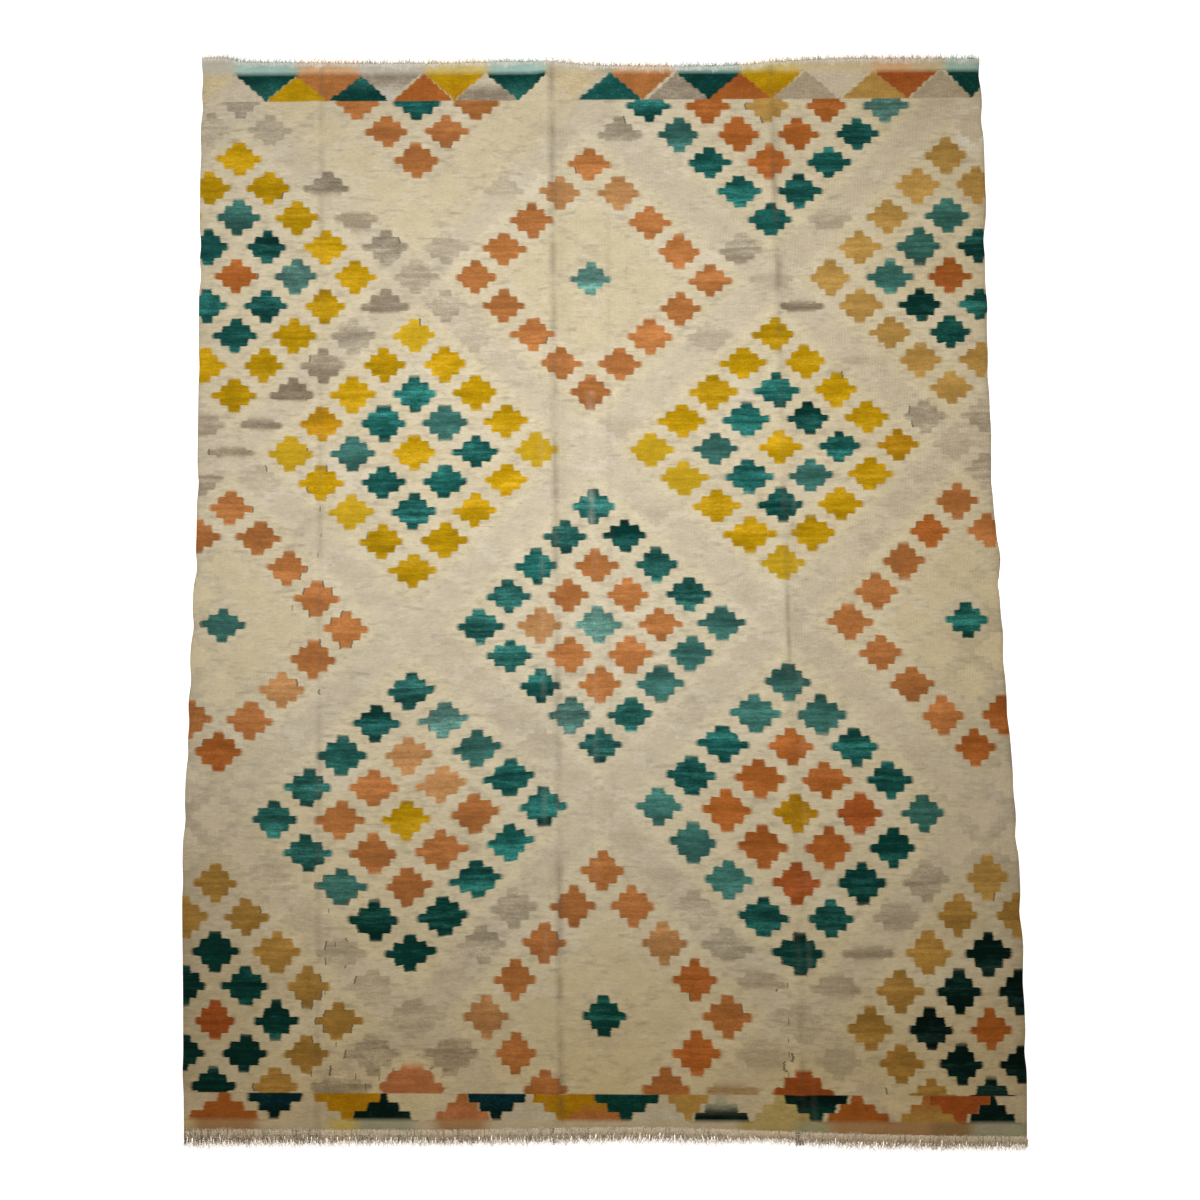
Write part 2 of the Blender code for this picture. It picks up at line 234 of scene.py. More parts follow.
# Lozenges that were woven larger than the rest.
LARGER = {(-6, -14): 1.32, (-8, -14): 1.18, (6, -14): 1.20}
BAND_STRENGTH = 0.20        # most that any other lozenge of a band stands off its ground
FAINT_LOWS = (-2, -2, -2, -1, 0)    # the lowest bar of such a lozenge is one of these
FAINT_HIGHS = (2, 2, 1, 0)
DYE_SEED = 23
TONE_SPREAD = 0.32          # the most uneven dyes are this part lighter or darker from lozenge to lozenge

# Worn pale patches of the ground have tone above 0, and dirty ones below it.
# The patch at x 0.722, y 0.868, with tone 1.8, is a painted highlight, a patch of sheen.
GroundPatch = namedtuple("GroundPatch", "x y half_x half_y tone")
WEAR_AND_SHEEN = rows_of(
    GroundPatch,
    (0.617, 0.9, 0.07, 0.03, -0.15), (0.722, 0.868, 0.034, 0.042, 1.8), (-0.02, -0.2, 0.2, 0.34, 0.26),
    (-0.52, 0.74, 0.26, 0.2, 0.16), (-0.7, -0.6, 0.12, 0.34, -0.24), (0.7, -0.35, 0.1, 0.4, -0.2),
    (-0.576, 0.814, 0.038, 0.006, -0.28), (0.145, 0.81, 0.05, 0.035, 0.3), (-0.17, 0.68, 0.06, 0.03, 0.28),
    (0.335, 0.593, 0.014, 0.028, -0.28), (0.335, 0.56, 0.02, 0.006, -0.4),
    (0.267, 0.516, 0.048, 0.005, -0.4), (0.508, 0.415, 0.043, 0.006, -0.35),
    (-0.117, 0.368, 0.024, 0.009, -0.2), (-0.111, 0.351, 0.033, 0.005, -0.4),
    (0.097, 0.346, 0.04, 0.01, 0.6), (0.612, 0.286, 0.022, 0.008, 0.45), (0.607, 0.214, 0.045, 0.007, 0.6),
    (0.0, 0.237, 0.03, 0.035, 0.4), (0.044, 0.199, 0.043, 0.006, -0.25),
    (-0.069, 0.174, 0.018, 0.007, -0.38), (-0.53, 0.114, 0.03, 0.005, -0.3),
    (0.21, 0.049, 0.042, 0.006, -0.3), (-0.713, 0.039, 0.03, 0.006, -0.35),
    (0.41, 0.02, 0.038, 0.018, -0.2), (-0.224, 0.007, 0.024, 0.005, -0.32),
    (-0.34, -0.032, 0.047, 0.005, -0.3), (-0.33, -0.087, 0.04, 0.01, -0.2),
    (0.4, -0.104, 0.025, 0.01, -0.25), (-0.698, -0.456, 0.012, 0.006, -0.35),
    (-0.56, -0.563, 0.035, 0.01, 0.3), (-0.598, -0.577, 0.009, 0.008, -0.45),
    (-0.205, -0.625, 0.01, 0.008, -0.38), (0.487, -0.646, 0.012, 0.006, -0.3),
    (0.294, -0.692, 0.032, 0.016, 0.4), (0.487, -0.718, 0.012, 0.006, -0.3),
    (-0.168, -0.731, 0.028, 0.009, 0.45), (0.42, -0.743, 0.03, 0.006, 0.45),
    (0.087, -0.743, 0.013, 0.01, -0.3), (0.29, -0.849, 0.045, 0.006, -0.3),
    (-0.463, -0.879, 0.013, 0.007, -0.5),
)
SELVEDGE_SHADE = 0.26        # painted shade darkens the wool along both selvedges
SELVEDGE_REACH = 0.024
DARKER_FROM = 0.2          # and the painted shade is darker still from this y, over the next stretch
DARKER_OVER = 0.8
DARKER_REACH = 1.4
DARKER_TONE = 0.6

# ---- Borders ----
# A row of stepped triangles near each end, by turns hanging from the band's top and standing on its
# bottom, the first one hanging.  x is a triangle's middle, reach its widest half width, dye the colour
# of its wide part and tip that of its point.  A border's low and high are its edges at the left
# selvedge, and rise is how much higher they are at the right one.
Tooth = namedtuple("Tooth", "x reach dye tip")
FAR_TEETH = rows_of(
    Tooth,
    (-0.755, 0.055, "beige", "beige"), (-0.7, 0.048, "greige", "greige"),
    (-0.64, 0.055, "dark teal", "soft teal"), (-0.577, 0.057, "yellow", "yellow"),
    (-0.52, 0.062, "orange", "orange"), (-0.459, 0.058, "dark teal", "soft teal"),
    (-0.402, 0.054, "grey", "pale grey"), (-0.337, 0.052, "deep orange", "deep orange"),
    (-0.277, 0.054, "yellow", "gold"), (-0.216, 0.054, "grey", "greige"),
    (-0.156, 0.057, "dark teal", "soft teal"), (-0.1, 0.052, "cream", "cream"),
    (-0.048, 0.05, "beige", "beige"), (0.024, 0.059, "teal", "teal"), (0.084, 0.054, "orange", "orange"),
    (0.152, 0.053, "grey", "grey"), (0.211, 0.058, "dark teal", "dark teal"),
    (0.272, 0.058, "deep orange", "rust"), (0.332, 0.056, "yellow", "gold"),
    (0.4, 0.064, "dim greige", "dim greige"), (0.46, 0.05, "greige", "greige"),
    (0.531, 0.057, "tan", "tan"), (0.593, 0.058, "rust", "deep orange"),
    (0.66, 0.055, "dim greige", "dim greige"), (0.716, 0.044, "dark teal", "dark teal"),
    (0.785, 0.05, "greige", "greige"),
)
NEAR_TEETH = rows_of(
    Tooth,
    (-0.735, 0.04, "greige", "greige"), (-0.668, 0.06, "deep orange", "deep orange"),
    (-0.578, 0.05, "navy", "black green"), (-0.512, 0.042, "greige", "greige"),
    (-0.449, 0.058, "gold", "gold"), (-0.387, 0.052, "black green", "black green"),
    (-0.32, 0.036, "cream", "cream"), (-0.243, 0.048, "salmon", "orange"),
    (-0.182, 0.051, "navy", "black green"), (-0.119, 0.052, "pale grey", "greige"),
    (-0.064, 0.056, "gold", "gold"), (-0.01, 0.054, "orange", "gold"),
    (0.05, 0.056, "dark teal", "dark teal"), (0.116, 0.049, "pale grey", "greige"),
    (0.16, 0.036, "tan", "tan"), (0.219, 0.048, "black green", "blue grey"),
    (0.275, 0.03, "greige", "greige"), (0.325, 0.056, "olive", "olive"),
    (0.389, 0.057, "black green", "dark teal"), (0.462, 0.054, "deep orange", "deep orange"),
    (0.532, 0.03, "cream", "cream"), (0.588, 0.054, "tan", "orange"), (0.645, 0.056, "rust", "rust"),
    (0.702, 0.04, "black green", "black green"), (0.76, 0.03, "greige", "greige"),
)
Border = namedtuple("Border", "low high rise steps teeth")
FAR_BORDER = Border(0.9255, 0.9815, 0.0090, 5.0, FAR_TEETH)
NEAR_BORDER = Border(-0.9638, -0.9175, -0.0070, 3.0, NEAR_TEETH)

# Tints of the plain band past each border, each from start to the next row's start.
Tint = namedtuple("Tint", "start dye")
TINT_SOFTNESS = 0.030
FAR_TINTS = rows_of(
    Tint,
    (-0.8, "pale grey"), (-0.7, "pale aqua"), (-0.58, "peach"), (-0.465, "pale grey"),
    (-0.335, "pale gold"), (-0.213, "pale aqua"), (-0.1, "khaki"), (0.003, "grey green"), (0.03, "peach"),
    (0.145, "pale aqua"), (0.272, "pale gold"), (0.388, "beige"), (0.53, "peach"), (0.602, "beige"),
    (0.667, "pale aqua"),
)
NEAR_TINTS = rows_of(
    Tint,
    (-0.8, "beige"), (-0.72, "salmon brown"), (-0.61, "greige"), (-0.48, "pale gold"), (-0.43, "blue grey"),
    (-0.328, "greige"), (-0.29, "salmon brown"), (-0.2, "greige"), (0.25, "olive"), (0.35, "grey green"),
    (0.413, "salmon brown"), (0.592, "brown"), (0.664, "blue grey"),
)

# ---- Fringe and cut ends ----
Lock = namedtuple("Lock", "x length lean")
LOCK_RULE = rows_of(
    Lock,
    (-0.766, 0.024, -0.001), (-0.6, 0.021, 0.002), (-0.4, 0.019, -0.0015), (-0.15, 0.019, 0.001),
    (0.05, 0.018, -0.002), (0.2, 0.018, 0.0025), (0.3, 0.012, 0.004), (0.42, 0.0155, 0.0015),
    (0.6, 0.0155, -0.0015), (0.766, 0.014, 0.001),
)
StrayLock = namedtuple("StrayLock", "x extra")
STRAY_LOCKS = rows_of(
    StrayLock,
    (-0.082, 0.006), (0.237, 0.009), (0.352, 0.0095), (0.361, 0.008),
)
LOCK_COUNT = 200
LOCK_LENGTHS = (0.92, 1.10)     # parts of the rule's length
LOCK_WANDER = 0.0006        # how far a lock's lean strays from the rule
LOCK_GATHER = 0.08          # how much a lock's yarns draw together
YARNS_PER_LOCK = 7
YARN_LENGTHS = (0.78, 1.08) # parts of the lock's length
YARN_SIDES = 6
YARN_STEPS = 7
YARN_RADIUS = 0.00140
YARN_WIDTHS = (0.75, 1.20)  # parts of that radius
YARN_TAPER = 0.50
YARN_TURNS = 2.0            # turns of the two plies over TURNS_LENGTH
TURNS_LENGTH = 0.020
YARN_PLY = 0.20             # how far the two plies stand out of a round section
FLATTENED = 0.60            # yarns and hairs are pressed flat to this part of their width
YARN_ROOT = 0.0035          # the yarns' knots sit this far up on the weaving
YARN_ROOTS = (0.3, 1.0)     # parts of that
YARN_WANDER = 0.0022        # how far a yarn's tip strays from its lock's lean
YARN_CURL = 0.0010
YARN_ARCH = 0.0010          # how high its middle may stand off the floor
KNOT_HEIGHT = 0.95 * THICKNESS
KNOT_LEVELS = (-0.0004, 0.0006)     # how far the knots' heights differ from that
KNOT_PLACES = (0.20, 0.50)  # where a yarn is thickest, as a part of its length
KNOT_SWELL = 0.55
KNOT_LENGTH = 0.12
SOILED = 0.62               # how bright a soiled yarn is
SOILED_SHARE = 0.09
COTTON_TONES = (0.88, 1.04)
YARN_TINT_PART = 0.15       # how much of the end band's tint the yarns have taken
FIBRE_COUNT = 6000          # loose fibres teased out of the yarns
FIBRE_RADIUS = 0.00024
FIBRE_WIDTHS = (0.6, 1.5)   # parts of a fibre's or a hair's radius
FIBRE_TAPER = 0.6
FIBRE_BEND = 0.35           # how far a fibre bends, as a part of its length
FIBRE_STARTS = (0.55, 1.05) # where fibres start, as a part of the lock's length
FIBRE_HEIGHTS = (0.0006, 0.0020)
FIBRE_LENGTHS = (0.004, 0.014)
FIBRE_SPREAD = 0.9          # radians to either side
FIBRE_TONE = 0.92
FIBRE_TINT_PART = 0.10
SIDE_MARGIN = 0.001         # fibres start up to this far past the selvedges, and hairs this far inside
FRINGE_SEED = 11
HAIR_COUNT = 9000
HAIR_SHORTEST = 0.0025
HAIR_REACH = 0.0055         # mean length of the cut warp ends past the shortest
HAIR_LIMIT = 0.0130
HAIR_ROOT = 0.0010          # how far inside the far edge they start
HAIR_HEIGHT = 0.35 * THICKNESS
HAIR_LEVELS = 0.0006        # how far their heights differ from that
HAIR_SPREAD = 0.5           # radians to either side
HAIR_RADIUS = 0.00030
HAIR_TINT_PART = 0.75
HAIR_SEED = 31


def smooth(table, key, value, at):
    """Values of a table's column where its key column equals at, on a smooth curve."""
    rows = sorted(table, key=lambda row: getattr(row, key))
    keys = np.array([getattr(row, key) for row in rows])
    values = np.array([getattr(row, value) for row in rows])
    slopes = np.empty_like(values)
    slopes[1:-1] = (values[2:] - values[:-2]) / (keys[2:] - keys[:-2])
    slopes[0] = (values[1] - values[0]) / (keys[1] - keys[0])
    slopes[-1] = (values[-1] - values[-2]) / (keys[-1] - keys[-2])
    at = np.clip(at, keys[0], keys[-1])
    low = np.clip(np.searchsorted(keys, at) - 1, 0, len(keys) - 2)
    span = keys[low + 1] - keys[low]
    t = (at - keys[low]) / span
    start = (1.0 + 2.0 * t) * (1.0 - t) ** 2 * values[low]
    end = t * t * (3.0 - 2.0 * t) * values[low + 1]
    bend = t * (1.0 - t) ** 2 * slopes[low] - t * t * (1.0 - t) * slopes[low + 1]
    return start + end + bend * span


def blend(value):
    """Soft step from 0 to 1."""
    value = np.clip(value, 0.0, 1.0)
    return value * value * (3.0 - 2.0 * value)


def linear(dye):
    """A dye's colour as scene-linear red, green and blue."""
    screen = np.array([dye.red, dye.green, dye.blue]) / 255.0
    return np.where(screen <= 0.04045, screen / 12.92, ((screen + 0.055) / 1.055) ** 2.4)


# ---- Shape of the cloth ----
def fold_x(fold, y):
    along = (FAR_END - y) / (2.0 * FAR_END)
    return fold.far_x + (fold.near_x - fold.far_x) * along


def fold_height(x, y):
    """Height of the cloth's underside over the floor."""
    height = np.zeros_like(x)
    for fold in FOLDS:
        across = np.clip((x - fold_x(fold, y)) / fold.half_width, -1.0, 1.0)
        rise = np.cos(0.5 * math.pi * across) ** 2
        if fold.kind == "trough":
            rise = np.sin(math.pi * across) ** 2
        fade = blend((fold.start_y - y) / FOLD_FADE) * blend((y - fold.end_y) / FOLD_FADE)
        height += fold.height * rise * fade
    return height * blend((y - NEAR_EDGE[0].y) / END_RELIEF)


def ripple(x, y, waves, seed):
    """Sum of gentle waves."""
    chance = random.Random(seed)
    total = np.zeros_like(x)
    for wave in waves:
        for _ in range(wave.count):
            length = chance.uniform(wave.shortest, wave.longest)
            turn = chance.uniform(0.0, math.pi)
            phase = chance.uniform(0.0, 2.0 * math.pi)
            along = x * math.cos(turn) / wave.squeeze + y * math.sin(turn)
            total += wave.height / math.sqrt(wave.count) * np.sin(2.0 * math.pi * along / length + phase)
    return total


# Wavelengths and height in metres; squeeze is how much longer the waves are across the rug.
Wave = namedtuple("Wave", "shortest longest height count squeeze")
SURFACE_WAVES = rows_of(
    Wave,
    (0.25, 0.60, 0.0004, 6, 1.0), (0.06, 0.14, 0.00022, 10, 2.2), (0.025, 0.05, 0.00009, 12, 2.5),
)


def dipped(dips, y):
    """How far a selvedge is drawn in."""
    return sum(dip.depth * np.exp(-((y - dip.at) / DIP_REACH) ** 2) for dip in dips)


def selvedge_lines(y):
    """x of the left and right selvedge."""
    left = smooth(SELVEDGES, "y", "left", y) + dipped(LEFT_DIPS, y)
    right = smooth(SELVEDGES, "y", "right", y) - dipped(RIGHT_DIPS, y)
    return left, right


def cloth_grid():
    """x, y and height of the underside on a grid of rows and columns."""
    across = np.linspace(0.0, 1.0, COLUMNS + 1)
    along = np.linspace(0.0, 1.0, ROWS + 1)[:, None]
    low = SELVEDGES[-1].y
    nominal = low + (FAR_END - low) * along
    left, right = selvedge_lines(nominal)
    x = left + (right - left) * across
    near = smooth(NEAR_EDGE, "x", "y", x)
    far = smooth(FAR_EDGE, "x", "y", x)
    y = near + (far - near) * along
    return x, y, fold_height(x, y)


def edge_part(shape):
    """How much of the thickness each grid point keeps: less on the outermost line."""
    part = np.ones(shape)
    part[0, :] = EDGE_PINCH
    part[-1, :] = EDGE_PINCH
    part[:, 0] = EDGE_PINCH
    part[:, -1] = EDGE_PINCH
    return part


def grid_faces(rows, columns, offset, flip):
    corner = offset + np.arange(rows * (columns + 1)).reshape(rows, columns + 1)[:, :-1].ravel()
    faces = np.stack([corner, corner + 1, corner + columns + 2, corner + columns + 1], axis=1)
    return faces[:, ::-1] if flip else faces


def rim_loop(rows, columns):
    """Grid numbers of the outermost points, counterclockwise from above."""
    grid = np.arange((rows + 1) * (columns + 1)).reshape(rows + 1, columns + 1)
    return np.concatenate([grid[0, :-1], grid[:-1, -1], grid[-1, :0:-1], grid[:0:-1, 0]])


def rim_points(points, loop):
    """Points halfway down the rim, pushed out a little so that the edge is round."""
    here = points[loop]
    tangent = np.roll(here, -1, axis=0) - np.roll(here, 1, axis=0)
    outward = np.stack([tangent[:, 1], -tangent[:, 0], np.zeros(len(loop))], axis=1)
    outward /= np.linalg.norm(outward, axis=1)[:, None]
    return here + EDGE_ROUND * outward


def cloth_mesh():
    """Points and faces of the closed sheet: its top, its underside and the rim between them."""
    x, y, bottom = cloth_grid()
    part = edge_part(x.shape)
    inset = 0.5 * (1.0 - part) * THICKNESS
    swell = ripple(x, y, SURFACE_WAVES, SURFACE_SEED)
    lift = np.maximum(swell, 0.0) * part
    low = bottom + inset
    high = bottom + THICKNESS - inset + swell * part
    under = np.stack([x, y, low + UNDER_SHARE * lift], axis=-1).reshape(-1, 3)
    over = np.stack([x, y, high], axis=-1).reshape(-1, 3)
    loop = rim_loop(ROWS, COLUMNS)
    middle = rim_points(0.5 * (under + over), loop)
    points = np.concatenate([over, under, middle])
    size = len(over)
    ring = np.arange(len(loop))
    after = np.roll(ring, -1)
    upper = np.stack([loop, 2 * size + ring, 2 * size + after, loop[after]], axis=1)
    lower = np.stack([2 * size + ring, size + loop, size + loop[after], 2 * size + after], axis=1)
    faces = np.concatenate([
        grid_faces(ROWS, COLUMNS, 0, False),
        grid_faces(ROWS, COLUMNS, size, True),
        upper,
        lower,
    ])
    return points, faces


# ---- Pattern of the cloth, one value a mesh point ----
def lattice_place(x, y):
    """Lattice coordinates of each point: every medallion's own, blended by nearness."""
    weight_sum = np.zeros_like(x)
    i_sum = np.zeros_like(x)
    j_sum = np.zeros_like(x)
    for spot in MEDALLIONS:
        dx = x - spot.x
        dy = y - spot.y
        across = MM * np.where(dx < 0.0, spot.left, spot.right)
        along = MM * np.where(dy < 0.0, spot.down, spot.up)
        sideways = np.clip(dx / (CORNER * across), -1.0, 1.0)
        endways = np.clip(dy / (CORNER * along), -1.0, 1.0)
        rise = MM * np.where(dx < 0.0, -spot.left_rise, spot.right_rise) * sideways
        lean = MM * np.where(dy < 0.0, -spot.down_lean, spot.up_lean) * endways
        i = spot.i + (dx - lean) / across
        j = spot.j + (dy - rise) / along
        weight = np.exp(-(dx * dx + dy * dy) / (2.0 * MEDALLION_REACH ** 2)) + TINY
        weight_sum += weight
        i_sum += weight * i
        j_sum += weight * j
    return i_sum / weight_sum, j_sum / weight_sum


def ring_place(i, j, middle_i, middle_j):
    """Which ring of a medallion a lattice place is in: up to 2.5 is inside it."""
    p = 0.5 * ((i - middle_i) + (j - middle_j))
    q = 0.5 * ((i - middle_i) - (j - middle_j))
    return np.maximum(np.abs(p), np.abs(q))


def inside_ring(place, edge):
    start, width = edge
    return 1.0 - blend((place - start) / width)


def ground_colours(i, j):
    """Colour of the plain weave: cream round the medallions' lozenges, greige in the bands."""
    cream_part = np.zeros_like(i)
    khaki_part = np.zeros_like(i)
    for spot in MEDALLIONS:
        place = ring_place(i, j, spot.i, spot.j)
        cream_part = np.maximum(cream_part, inside_ring(place, CREAM_EDGE))
        if not spot.inner:
            khaki_part = np.maximum(khaki_part, inside_ring(place, KHAKI_EDGE))
    khaki_part = np.maximum(khaki_part, inside_ring(ring_place(i, j, *HOLLOW), HOLLOW_EDGE))
    cream_part = cream_part[:, None]
    khaki_part = khaki_part[:, None]
    ground = linear(DYES["greige"]) * (1.0 - cream_part) + linear(DYES["cream"]) * cream_part
    return ground * (1.0 - khaki_part) + linear(DYES["khaki"]) * khaki_part


def medallion_places(i, j):
    """Each of the 25 places round a middle, and the ring it is in."""
    for p in range(-2, 3):
        for q in range(-2, 3):
            yield (i + p + q, j + p - q), max(abs(p), abs(q))


def lozenge_chart():
    """Dye, strength and the bars that show for each lozenge, by i and j."""
    chart = {place: Lozenge("khaki", 0.0) for place, _ in medallion_places(*HOLLOW)}
    for spot in MEDALLIONS:
        for place, ring in medallion_places(spot.i, spot.j):
            dye = (spot.centre, spot.inner, spot.outer)[ring]
            chart[place] = Lozenge(dye or "cream", 1.0 if dye else 0.0)
    for dye, places in REDYED:
        for place in places:
            chart[place] = Lozenge(dye, 1.0)
    for odd in ODD_LOZENGES:
        for place in odd.places:
            chart[place] = Lozenge(odd.dye, odd.strength, odd.low, odd.high)
    return chart


def chart_arrays():
    """The chart as arrays by i and j: colour with streaks, strength, lowest and highest bar."""
    chance = random.Random(DYE_SEED)
    size = 2 * LATTICE_SPAN + 1
    colours = np.zeros((size, size, 4))
    strengths = np.zeros((size, size))
    bars = np.zeros((size, size, 2))
    chart = lozenge_chart()
    for column in range(size):
        for row in range(size):
            faint = BAND_STRENGTH * chance.random() ** 1.5
            other = Lozenge("grey", faint, chance.choice(FAINT_LOWS), chance.choice(FAINT_HIGHS))
            lozenge = chart.get((column - LATTICE_SPAN, row - LATTICE_SPAN), other)
            dye = DYES[lozenge.dye]
            tone = 1.0 + TONE_SPREAD * dye.streaks * chance.uniform(-1.0, 1.0)
            colours[column, row] = (*(linear(dye) * tone), dye.streaks)
            strengths[column, row] = lozenge.strength
            bars[column, row] = (lozenge.low, lozenge.high)
    return colours, strengths, bars


BAR_HEIGHT = 0.24           # height of one of a lozenge's five bars, in half pitches


def phase_dyes(i, j, ground, odd, arrays):
    """Dye at each point of the nearest lozenge whose i is odd, or even, mixed with the ground."""
    colours, strengths, bars = arrays
    column = (2 * np.round((i - odd) / 2.0) + odd).astype(int)
    row = (2 * np.round((j - odd) / 2.0) + odd).astype(int)
    column = np.clip(column, -LATTICE_SPAN, LATTICE_SPAN)
    row = np.clip(row, -LATTICE_SPAN, LATTICE_SPAN)
    spot = (column + LATTICE_SPAN, row + LATTICE_SPAN)
    dye = colours[spot].copy()
    strength = strengths[spot]
    span = bars[spot]
    bar = (j - row) / BAR_HEIGHT
    shown = blend(2.0 * (bar - span[:, 0] + 1.0)) * blend(2.0 * (span[:, 1] + 1.0 - bar))
    part = (strength * shown)[:, None]
    dye[:, :3] = ground * (1.0 - part) + dye[:, :3] * part
    dye[:, 3] *= part[:, 0]
    return dye


def lozenge_sizes(i, j):
    """Size of the nearest lozenge at each point, where 1 is the common one."""
    p = np.round(0.5 * (i + j))
    q = np.round(0.5 * (i - j))
    sizes = np.ones_like(i)
    for (large_i, large_j), size in LARGER.items():
        sizes[(p + q == large_i) & (p - q == large_j)] = size
    return sizes


def tooth_place(teeth, x):
    """A coordinate that is even at the middle of a hanging triangle and odd at a standing one's."""
    return np.interp(x, [tooth.x for tooth in teeth], np.arange(len(teeth)))


def tooth_numbers(teeth, place, hangs):
    """Number of the nearest hanging, or standing, triangle in the table."""
    odd = 0 if hangs else 1
    nearest = 2 * np.round((place - odd) / 2.0) + odd
    return np.clip(nearest, 0, len(teeth) - 1).astype(int)


def tooth_fills(teeth, place, hangs):
    """Widest half width of that triangle, as a part of the way to its neighbour's middle."""
    gaps = np.diff([tooth.x for tooth in teeth])
    gap = gaps[np.clip(np.floor(place), 0, len(gaps) - 1).astype(int)]
    reaches = np.array([tooth.reach for tooth in teeth])
    return reaches[tooth_numbers(teeth, place, hangs)] / gap


def dye_values(names):
    """Scene-linear colour and streaks of each dye."""
    return np.array([(*linear(DYES[name]), DYES[name].streaks) for name in names])


def tooth_colours(teeth, place, wide, hangs):
    """Dye of the nearest hanging, or standing, triangle; wide is 1 at its wide side and 0 at its point."""
    number = tooth_numbers(teeth, place, hangs)
    part = blend(1.5 - 2.0 * wide)[:, None]
    body = dye_values([tooth.dye for tooth in teeth])[number]
    tip = dye_values([tooth.tip for tooth in teeth])[number]
    return body * (1.0 - part) + tip * part


def tint_colours(tints, x):
    """Tint of an end band, softly from one to the next."""
    colours = dye_values([tint.dye for tint in tints])
    result = np.repeat(colours[:1], len(x), axis=0)
    for tint, colour in zip(tints[1:], colours[1:]):
        part = blend((x - tint.start) / TINT_SOFTNESS + 0.5)[:, None]
        result = result * (1.0 - part) + colour * part
    return result


def border_values(x, y):
    """Place and height in the border, place towards the end, the triangles' fills and the colours."""
    far = y > 0.0
    across = (x - SELVEDGES[0].left) / (SELVEDGES[0].right - SELVEDGES[0].left)
    values = []
    for border, tints in ((FAR_BORDER, FAR_TINTS), (NEAR_BORDER, NEAR_TINTS)):
        low = border.low + border.rise * across
        height = (y - low) / (border.high - border.low)
        place = tooth_place(border.teeth, x)
        to_end = height if border is FAR_BORDER else 1.0 - height
        hanging_fill = tooth_fills(border.teeth, place, True)
        standing_fill = tooth_fills(border.teeth, place, False)
        steps = np.full_like(x, border.steps)
        values.append((
            np.stack([place, height, to_end], axis=1),
            np.stack([hanging_fill, standing_fill, steps], axis=1),
            tooth_colours(border.teeth, place, height, True),
            tooth_colours(border.teeth, place, 1.0 - height, False),
            tint_colours(tints, x),
        ))
    return [np.where(far[:, None], at_far, at_near) for at_far, at_near in zip(*values)]


def wear_and_shade_values(x, y):
    """Soft pale patches above 0 and dirty ones below it, as the table of patches places them, one of them a
    painted highlight, less the painted shade along the selvedges.
    """
    wear_and_shade = np.zeros_like(x)
    for patch in WEAR_AND_SHEEN:
        across = (x - patch.x) / patch.half_x
        along = (y - patch.y) / patch.half_y
        wear_and_shade += patch.tone * np.exp(-(across ** 4) - along * along)
    left, right = selvedge_lines(y)
    inward = np.minimum(x - left, right - x)
    nearness = np.clip((DARKER_FROM - y) / DARKER_OVER, 0.0, 1.0)
    reach = SELVEDGE_REACH * (1.0 + DARKER_REACH * nearness)
    edge_shade = SELVEDGE_SHADE * (1.0 + DARKER_TONE * nearness)
    # painted shade along both selvedges, darker towards the near end
    return wear_and_shade - edge_shade * np.exp(-np.maximum(inward, 0.0) / reach)


def end_gaps(x, y):
    """How far each point is from the near and the far edge of the weaving."""
    near = y - smooth(NEAR_EDGE, "x", "y", x)
    far = smooth(FAR_EDGE, "x", "y", x) - y
    return near, far


def add_values(mesh, name, values):
    """Keep values with the mesh's points: three numbers each as a vector, four as a colour."""
    kind, field = ("FLOAT_VECTOR", "vector") if values.shape[1] == 3 else ("FLOAT_COLOR", "color")
    layer = mesh.attributes.new(name, kind, "POINT")
    layer.data.foreach_set(field, np.ascontiguousarray(values, dtype=np.float32).ravel())


def add_pattern(mesh, points):
    """Give every mesh point its place in the pattern and the colours that meet there."""
    x = points[:, 0]
    y = points[:, 1]
    i, j = lattice_place(x, y)
    ground = ground_colours(i, j)
    arrays = chart_arrays()
    border, fills, hanging, standing, tint = border_values(x, y)
    layers = {
        "lattice": np.stack([i, j, lozenge_sizes(i, j)], axis=1),
        "ends": np.stack([*end_gaps(x, y), wear_and_shade_values(x, y)], axis=1),
        "ground": np.concatenate([ground, np.ones((len(x), 1))], axis=1),
        "even_dye": phase_dyes(i, j, ground, 0, arrays),
        "odd_dye": phase_dyes(i, j, ground, 1, arrays),
        "border": border,
        "border_fill": fills,
        "hanging_dye": hanging,
        "standing_dye": standing,
        "end_tint": tint,
    }
    for name, values in layers.items():
        add_values(mesh, name, values)


# ---- Node helpers ----
class Value:
    """A number that flows between shader nodes: adding it to something adds the node for that."""

    def __init__(self, graph, socket):
        self.graph = graph
        self.socket = socket

    def __add__(self, other):
        return self.graph.math("ADD", self, other)

    def __sub__(self, other):
        return self.graph.math("SUBTRACT", self, other)

    def __rsub__(self, other):
        return self.graph.math("SUBTRACT", other, self)

    def __mul__(self, other):
        return self.graph.math("MULTIPLY", self, other)

    def __truediv__(self, other):
        return self.graph.math("DIVIDE", self, other)

    def __lt__(self, other):
        return self.graph.math("LESS_THAN", self, other)

    def __gt__(self, other):
        return self.graph.math("GREATER_THAN", self, other)

    def __abs__(self):
        return self.graph.math("ABSOLUTE", self)


